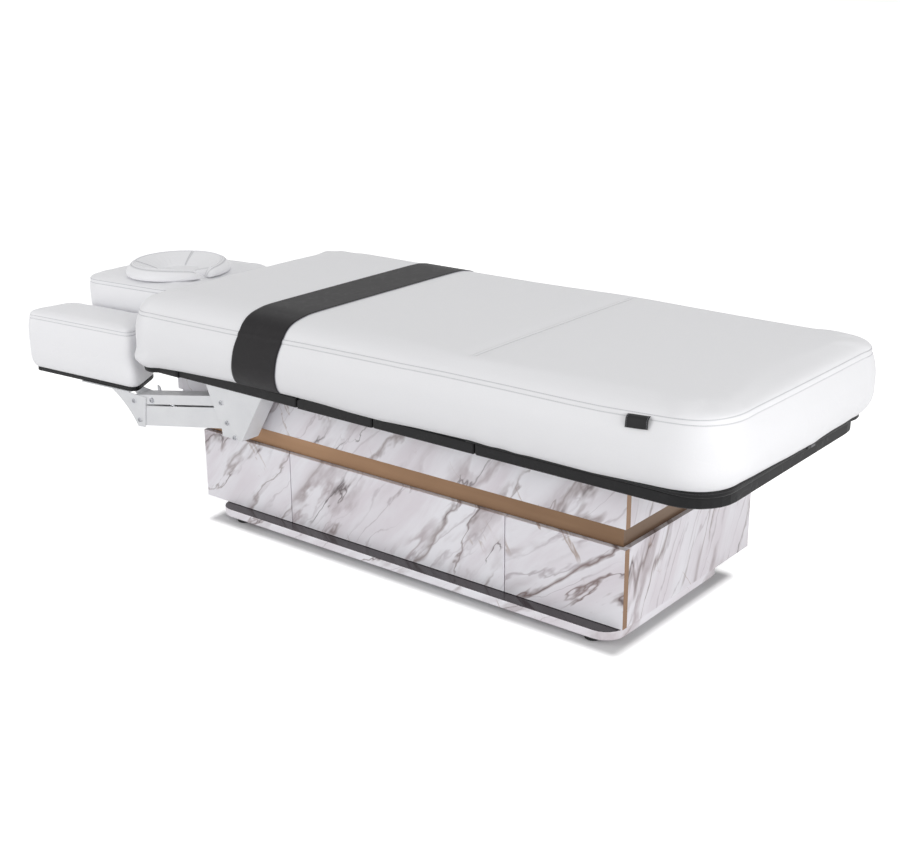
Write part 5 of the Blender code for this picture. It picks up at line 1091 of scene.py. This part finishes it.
def slab(name, xs, ys, zs, corner, steps=6, edge=0.0015):
    # a rounded plate: its outline drawn in a little at both faces
    angle = np.linspace(0, np.pi / 2, steps + 1)
    corners = [(xs[1], ys[1], 0), (xs[0], ys[1], 1), (xs[0], ys[0], 2), (xs[1], ys[0], 3)]
    rings = []
    for inset, z in ((edge, zs[0]), (0, zs[0] + edge), (0, zs[1] - edge), (edge, zs[1])):
        ring = []
        for x, y, quarter in corners:
            sx, sy = (1 if quarter in (0, 3) else -1), (1 if quarter in (0, 1) else -1)
            turn = angle + quarter * np.pi / 2
            ring.append(np.column_stack([x - sx * corner + (corner - inset) * np.cos(turn),
                                         y - sy * corner + (corner - inset) * np.sin(turn), np.full(steps + 1, z)]))
        rings.append(np.concatenate(ring))
    count = len(rings[0])
    caps = [list(range(count))[::-1], list(range(3 * count, 4 * count))]
    faces = list(gridFaces(len(rings), count, wrapCols=True)) + caps
    return outwards(linkMesh(name, np.concatenate(rings), faces, smooth=False))


for side, sign in (("near", -1), ("far", 1)):
    low, high = sorted((sign * armPad["inner"], sign * armPad["outer"]))
    swell = (armPad["swell"], 0.0) if sign < 0 else (0.0, armPad["swell"])
    pad, threads = boxPad("armrestPad_" + side, {**armPad, "y": (low, high), "bulge": swell}, slantEnds)
    inset = armPad["boardInset"]
    boardHigh = armPad["floor"] - armPad["boardGap"]
    base = slab("armrestBoard_" + side, (armPad["x"][0] + inset, armPad["x"][1] - inset), (low + inset, high - inset),
                (boardHigh - armPad["board"], boardHigh), armPad["corners"][0] - inset)
    setPoints(base, slantEnds(getPoints(base)))
    base.data.materials.append(blackVinyl)
    tilted([pad, base, *threads], armPad["pivot"], armPad["tilt"])
    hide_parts("armrest_pad_" + side)
    for piece in (pad, base, *threads):
        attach(piece, "armrest_" + side)
print("headrest and armrests padded")

horseshoe = {
    # radii, half the gap, the rim's share of the width, and the seams' shares of the way round
    "centre": (-0.880, -0.038), "turn": -11.0, "inner": 0.058, "outer": 0.1585, "gap": 0.014, "rim": 0.74,
    "floor": 0.6045, "height": 0.0385, "headRise": 0.004, "tipFall": 0.010, "innerHeight": 0.010,
    "alongSteps": 170, "welt": 0.0013, "folds": 0.0016, "cap": 0.003,
    "radialSeams": (0.025, 0.355, 0.645, 0.975), "seamHalf": 0.0045, "seamDeep": 0.0011,
    "stitch": {**stitch, "pitch": 0.0042, "length": 0.003},
}


def horseshoeSection():
    # across the band, share 0 at the inner foot to 1 at the outer foot: (share of the width, share of the height)
    # up a short inner wall, a long convex slope to the rim, over it, and down the swelling outer wall
    h = horseshoe
    slope = np.linspace(0, 1, 15)[1:]
    inner = [(0.020, 0.0), (0.0, 0.30), (0.012, 0.75), (0.04, 1.0)]
    rise = [(0.04 + (h["rim"] - 0.04) * s, None, s ** 0.82) for s in slope]
    over = ((0.055, 0.975), (0.100, 0.900), (0.145, 0.80), (0.190, 0.68), (0.228, 0.54), (0.252, 0.40))
    wall = [(h["rim"] + across, high) for across, high in over] + [(1.0, 0.26), (0.995, 0.12), (0.975, 0.0)]
    return inner, rise, wall


def horseshoePoints():
    # angle from gap edge to gap edge, asin(gap / radius) at each radius, so that both tips stay parallel;
    # radius from the inner to the outer edge; height from the section, lower at the tips, higher at the head,
    # pressed in along the seams, with soft folds across the slope
    h = horseshoe
    inner, rise, wall = horseshoeSection()
    share = 0.5 - 0.5 * np.cos(np.linspace(0, np.pi, h["alongSteps"]))
    share = 0.35 * share + 0.65 * np.linspace(0, 1, h["alongSteps"])
    wide = np.array([p[0] for p in inner] + [p[0] for p in rise] + [p[0] for p in wall])
    low = h["innerHeight"]
    fromEnd = np.minimum(share, 1 - share)
    rim = h["height"] - h["headRise"] * np.cos(2 * np.pi * share)
    rim -= h["tipFall"] * (1 - np.minimum(fromEnd / 0.16, 1)) ** 2
    heights = [np.full(len(rim), low * p[1]) for p in inner] + [low + (rim - low) * p[2] for p in rise]
    lift = np.stack(heights + [rim * p[1] for p in wall], axis=1)
    swell = np.sqrt(np.maximum(1 - (1 - np.minimum(fromEnd / 0.030, 1)) ** 2, 0)) * 0.94 + 0.06
    middle = 0.52
    width = middle + (wide[None] - middle) * (0.80 + 0.20 * swell[:, None])
    radius = h["inner"] + (h["outer"] - h["inner"]) * width
    start = np.arcsin(np.clip(h["gap"] / radius, -1, 1))
    angle = start + share[:, None] * (2 * np.pi - 2 * start) + np.radians(h["turn"])
    lift = lift * swell[:, None]
    for seam in h["radialSeams"]:
        for shift in (-h["seamHalf"], h["seamHalf"]):
            pressed = np.exp(-((share - seam - shift) / 0.0022) ** 2)
            lift -= h["seamDeep"] * pressed[:, None] * (lift > low * 1.2)
    onSlope = np.clip((wide - 0.05) / 0.15, 0, 1) * np.clip((h["rim"] - 0.03 - wide) / 0.1, 0, 1)
    spots = np.stack([angle * 0.11, radius, 0 * radius], -1).reshape(-1, 3)
    uneven = smoothNoise(spots, 60.0, 3).reshape(radius.shape)
    fold = np.abs(np.sin(angle * 17 + 1.3 * np.sin(angle * 5))) ** 3 * uneven
    lift += h["folds"] * fold * onSlope[None] * np.clip(fromEnd / 0.1, 0, 1)[:, None]
    x = h["centre"][0] + radius * np.cos(angle)
    y = h["centre"][1] + radius * np.sin(angle)
    return np.stack([x, y, h["floor"] + lift], axis=-1), share, wide


points, share, wide = horseshoePoints()
rows, cols = points.shape[:2]
flat = points.reshape(-1, 3)
caps = [list(range(cols)), list(range((rows - 1) * cols, rows * cols))]
faces = list(gridFaces(rows, cols, wrapCols=True)) + caps
cushion = outwards(linkMesh("faceCushion", flat, faces))
rimColumn = int(np.argmin(np.abs(wide - horseshoe["rim"])))
weltColumns = (rimColumn, rimColumn + 2)
low = np.flatnonzero(flat[:, 2] < horseshoe["floor"] + 0.003)
seamHalf = horseshoe["seamHalf"]
seamRows = [int(np.argmin(np.abs(share - q - s))) for q in horseshoe["radialSeams"] for s in (-seamHalf, seamHalf)]
sewn = [r * cols + np.arange(3, rimColumn + 1) for r in seamRows] + [np.arange(rows) * cols + c for c in weltColumns]
puff(cushion, np.concatenate([low, *sewn]), horseshoe["cap"])
markSeams(cushion, np.concatenate(sewn))
shaped = getPoints(cushion).reshape(rows, cols, 3)
middle = shaped.mean(axis=1, keepdims=True)
outward = shaped - middle
outward /= np.maximum(np.linalg.norm(outward, axis=-1, keepdims=True), 1e-9)
finishCover(cushion)
cushion.data.materials.append(whiteSoftPaintedLight)
along = slice(4, -4)  # short of both tips
piping = tube("cushionPiping", shaped[along, rimColumn] + outward[along, rimColumn] * 0.0004, horseshoe["welt"], 8)
piping.data.materials.append(whiteSoftPaintedLight)
headSoft = [cushion, piping]
threadRuns = {"cushionThread_rim": (shaped[along, weltColumns[1]], outward[along, weltColumns[1]])}
for n, r in enumerate(seamRows):
    threadRuns[f"cushionThread_{n}"] = (shaped[r, 3:rimColumn], np.tile([0.0, 0.0, 1.0], (rimColumn - 3, 1)))
for name, (path, normals) in threadRuns.items():
    thread = stitchRow(name, path, normals, horseshoe["stitch"], closed=False)
    thread.data.materials.append(threadGrey)
    headSoft.append(thread)
tilted(headSoft, headPad["pivot"], headPad["tilt"])
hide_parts("face_cushion")
for piece in headSoft:
    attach(piece, "headrest")
print("face cushion made")

# bronze edge strips on the near foot corner: x of the foot face, y of the near face, and heights
trim = {"foot": 0.900, "near": -0.310, "wide": 0.018, "proud": 0.0006, "edge": 0.0003,
        "drawer": (0.041, 0.242), "frieze": (0.294, 0.4012)}
for name, body, heights in (("trim_drawer_foot", "drawer_foot", trim["drawer"]), ("trim_frieze", "base", trim["frieze"])):
    strip = slab(name, (trim["foot"], trim["foot"] + trim["proud"]), (trim["near"], trim["near"] + trim["wide"]),
                 heights, trim["edge"] * 2, steps=2, edge=trim["edge"])
    strip.data.materials.append(bronze)
    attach(strip, body)
zipBody = slab("zipSlider", *zip(*zipper["slider"]), 0.0025, steps=4, edge=0.0012)
zipPull = slab("zipPull", *zip(*zipper["pull"]), 0.0006, steps=2, edge=0.0003)
for piece, material in ((zipBody, housing), (zipPull, gunmetal)):
    piece.data.materials.append(material)
    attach(piece, "calf")

screw = {
    "radius": 0.0068, "high": 0.0024, "hex": 0.0026, "deep": 0.0018, "sides": 36,
    "washer": 0.0105, "washerHigh": 0.0012,
    # x, z, body, how far the cheek stands from the middle of the table
    "places": ((-0.7121, 0.3066, "armrest", 0.3890), (-0.6921, 0.2526, "armrest", 0.3890),
               (-0.343, 0.373, "back", 0.3890), (-0.323, 0.319, "back", 0.3890), (-0.296, 0.282, "back", 0.3890)),
    "bolt": (-0.639, 0.3206, "upper_arm", 0.3829),
}


def turned(name, rings, x, z, y, sign):
    # rings of (radius per angle, height) about a line across the table, closed at both ends:
    # x + radius * cos(angle), z + radius * sin(angle), y + height
    sides = screw["sides"]
    angle = np.arange(sides) * 2 * np.pi / sides
    points = np.concatenate([np.column_stack([x + r * np.cos(angle), np.full(sides, sign * (y + h)),
                                              z + r * np.sin(angle)]) for r, h in rings])
    total = len(points)
    caps = [list(range(sides)), list(range(total - sides, total))]
    faces = list(gridFaces(len(rings), sides, wrapCols=True)) + caps
    piece = outwards(linkMesh(name, points, faces))
    piece.data.set_sharp_from_angle(angle=np.radians(35))
    return piece


def screwHead(name, x, z, y, sign, scale=1.0):
    # a low dome with a six-sided socket: hexagon radius = hex / cos(angle within its side)
    s = screw
    angle = np.arange(s["sides"]) * 2 * np.pi / s["sides"]
    hexagon = scale * s["hex"] / np.cos((angle + np.pi / 6) % (np.pi / 3) - np.pi / 6)
    full = np.full(s["sides"], s["radius"] * scale)
    high = s["high"] * scale
    rings = [(hexagon, high - s["deep"]), (hexagon, high - 0.0001), (hexagon * 1.08, high), (full * 0.72, high * 0.96),
             (full * 0.93, high * 0.68), (full, high * 0.2), (full, -0.0004)]
    return turned(name, rings, x, z, y, sign)


for side, sign in (("near", -1), ("far", 1)):
    for n, (x, z, body, cheek) in enumerate(screw["places"]):
        head = screwHead(f"screw_{side}_{n}", x, z, cheek, sign)
        head.data.materials.append(screwSteel)
        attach(head, body if body == "back" else f"{body}_{side}")
    x, z, body, cheek = screw["bolt"]
    full, high = np.full(screw["sides"], screw["washer"]), screw["washerHigh"]
    washer = turned(f"washer_{side}", [(full * 0.98, high), (full, high * 0.6), (full, -0.0004)], x, z, cheek, sign)
    head = screwHead(f"bolt_{side}", x, z, cheek + high, sign, 1.15)
    for piece, material in ((washer, steel), (head, screwSteel)):
        piece.data.materials.append(material)
        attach(piece, f"{body}_{side}")
print("trim made")

studio = {
    "floorHalf": 30.0, "world": 0.52, "floorGlow": 0.78, "paper": (0.80, 0.80, 0.805),
    "footprint": ((-0.429, -0.348), (0.897, 0.182)), "shadowReach": 0.042,
    "lamps": (
        # place, aimed at, size, watts
        ((4.6, -1.6, 1.5), (0.5, 0.0, 0.4), 2.5, 94.0),
        ((-2.6, -4.2, 1.7), (-0.3, 0.0, 0.4), 3.0, 62.0),
        ((0.4, 0.6, 4.2), (0.2, 0.0, 0.5), 3.6, 17.0),
    ),
    "camera": {"place": (2.478, -2.929, 1.583), "turn": 38.55, "down": 18.78, "roll": -0.357, "lens": 57.884},
}


def inView(tree):
    # 1 for what the camera sees straight on, in gloss or through glass, else 0
    path = tree.nodes.new("ShaderNodeLightPath")
    seen = mathNode(tree, "MAXIMUM", path.outputs["Is Camera Ray"], path.outputs["Is Glossy Ray"])
    return mathNode(tree, "MAXIMUM", seen, path.outputs["Is Transmission Ray"])


def studioFloor():
    # white paper that glows for the camera, the glow taken away near the plinth as a painted contact shadow over the
    # real one:
    # glow = smooth step of the distance to its box, where distance = square root of (gap along X squared + gap along Y
    # squared)
    h = studio["floorHalf"]
    points = np.array([(-h, -h, 0), (h, -h, 0), (h, h, 0), (-h, h, 0)], float)
    floor = linkMesh("studioFloor", points, [[0, 1, 2, 3]], smooth=False)
    material = bpy.data.materials.new("studioFloor")
    material.use_nodes = True
    tree = material.node_tree
    tree.nodes.clear()
    out = tree.nodes.new("ShaderNodeOutputMaterial")
    paper = addNode(tree, "ShaderNodeBsdfDiffuse", None, Color=rgb(*studio["paper"]))
    place = tree.nodes.new("ShaderNodeTexCoord").outputs["Object"]
    gaps = []
    for axis, (low, high) in enumerate(zip(*studio["footprint"])):
        away = mathNode(tree, "ABSOLUTE", mathNode(tree, "SUBTRACT", axisOf(tree, place, axis), (low + high) / 2))
        gaps.append(mathNode(tree, "MAXIMUM", mathNode(tree, "SUBTRACT", away, (high - low) / 2), 0.0))
    distance = mathNode(tree, "SQRT", plus(tree, times(tree, gaps[0], gaps[0]), times(tree, gaps[1], gaps[1])))
    # painted shadow: the glow fades out near the plinth, deepening its contact shadow
    far = ranged(tree, distance, 0.0, studio["shadowReach"])
    level = times(tree, times(tree, inView(tree), far), studio["floorGlow"])
    glow = addNode(tree, "ShaderNodeEmission", None, Color=rgb(1, 1, 1), Strength=level)
    both = addNode(tree, "ShaderNodeAddShader", None, in0=paper.outputs[0], in1=glow.outputs[0])
    tree.links.new(both.outputs[0], out.inputs[0])
    floor.data.materials.append(material)


def studioWorld():
    # white in view, and the studio's own level as light: seen * (1 - level) + level
    world = bpy.data.worlds.new("studio")
    scene.world = world
    world.use_nodes = True
    tree = world.node_tree
    tree.nodes.clear()
    out = tree.nodes.new("ShaderNodeOutputWorld")
    level = plus(tree, times(tree, inView(tree), 1.0 - studio["world"]), studio["world"])
    sky = addNode(tree, "ShaderNodeBackground", None, Color=rgb(1, 1, 1), Strength=level)
    tree.links.new(sky.outputs[0], out.inputs[0])


def studioLamps():
    # square softboxes, each turned to look at its aim
    for n, (place, aim, size, watts) in enumerate(studio["lamps"]):
        lamp = bpy.data.lights.new(f"softbox_{n}", "AREA")
        lamp.shape = "SQUARE"
        lamp.size = size
        lamp.energy = watts
        holder = bpy.data.objects.new(f"softbox_{n}", lamp)
        holder.location = place
        holder.rotation_euler = (Vector(aim) - Vector(place)).to_track_quat("-Z", "Y").to_euler()
        scene.collection.objects.link(holder)


def studioCamera():
    # looks along (-sin turn * cos down, cos turn * cos down, -sin down), and rolled a little
    c = studio["camera"]
    turn, down, roll = [np.radians(c[k]) for k in ("turn", "down", "roll")]
    look = np.array([-np.sin(turn) * np.cos(down), np.cos(turn) * np.cos(down), -np.sin(down)])
    right = np.array([np.cos(turn), np.sin(turn), 0.0])
    up = np.cross(right, look)
    right, up = np.cos(roll) * right + np.sin(roll) * up, -np.sin(roll) * right + np.cos(roll) * up
    data = bpy.data.cameras.new("camera")
    data.lens = c["lens"]
    data.sensor_width = 36.0
    data.sensor_fit = "HORIZONTAL"
    data.clip_end = 100.0
    camera = bpy.data.objects.new("camera", data)
    axes = np.column_stack([right, up, -look])
    place = np.eye(4)
    place[:3, :3], place[:3, 3] = axes, c["place"]
    camera.matrix_world = Matrix(place.tolist())
    scene.collection.objects.link(camera)
    scene.camera = camera


studioFloor()
studioWorld()
studioLamps()
studioCamera()
scene.view_settings.view_transform = "Standard"
print("studio set")
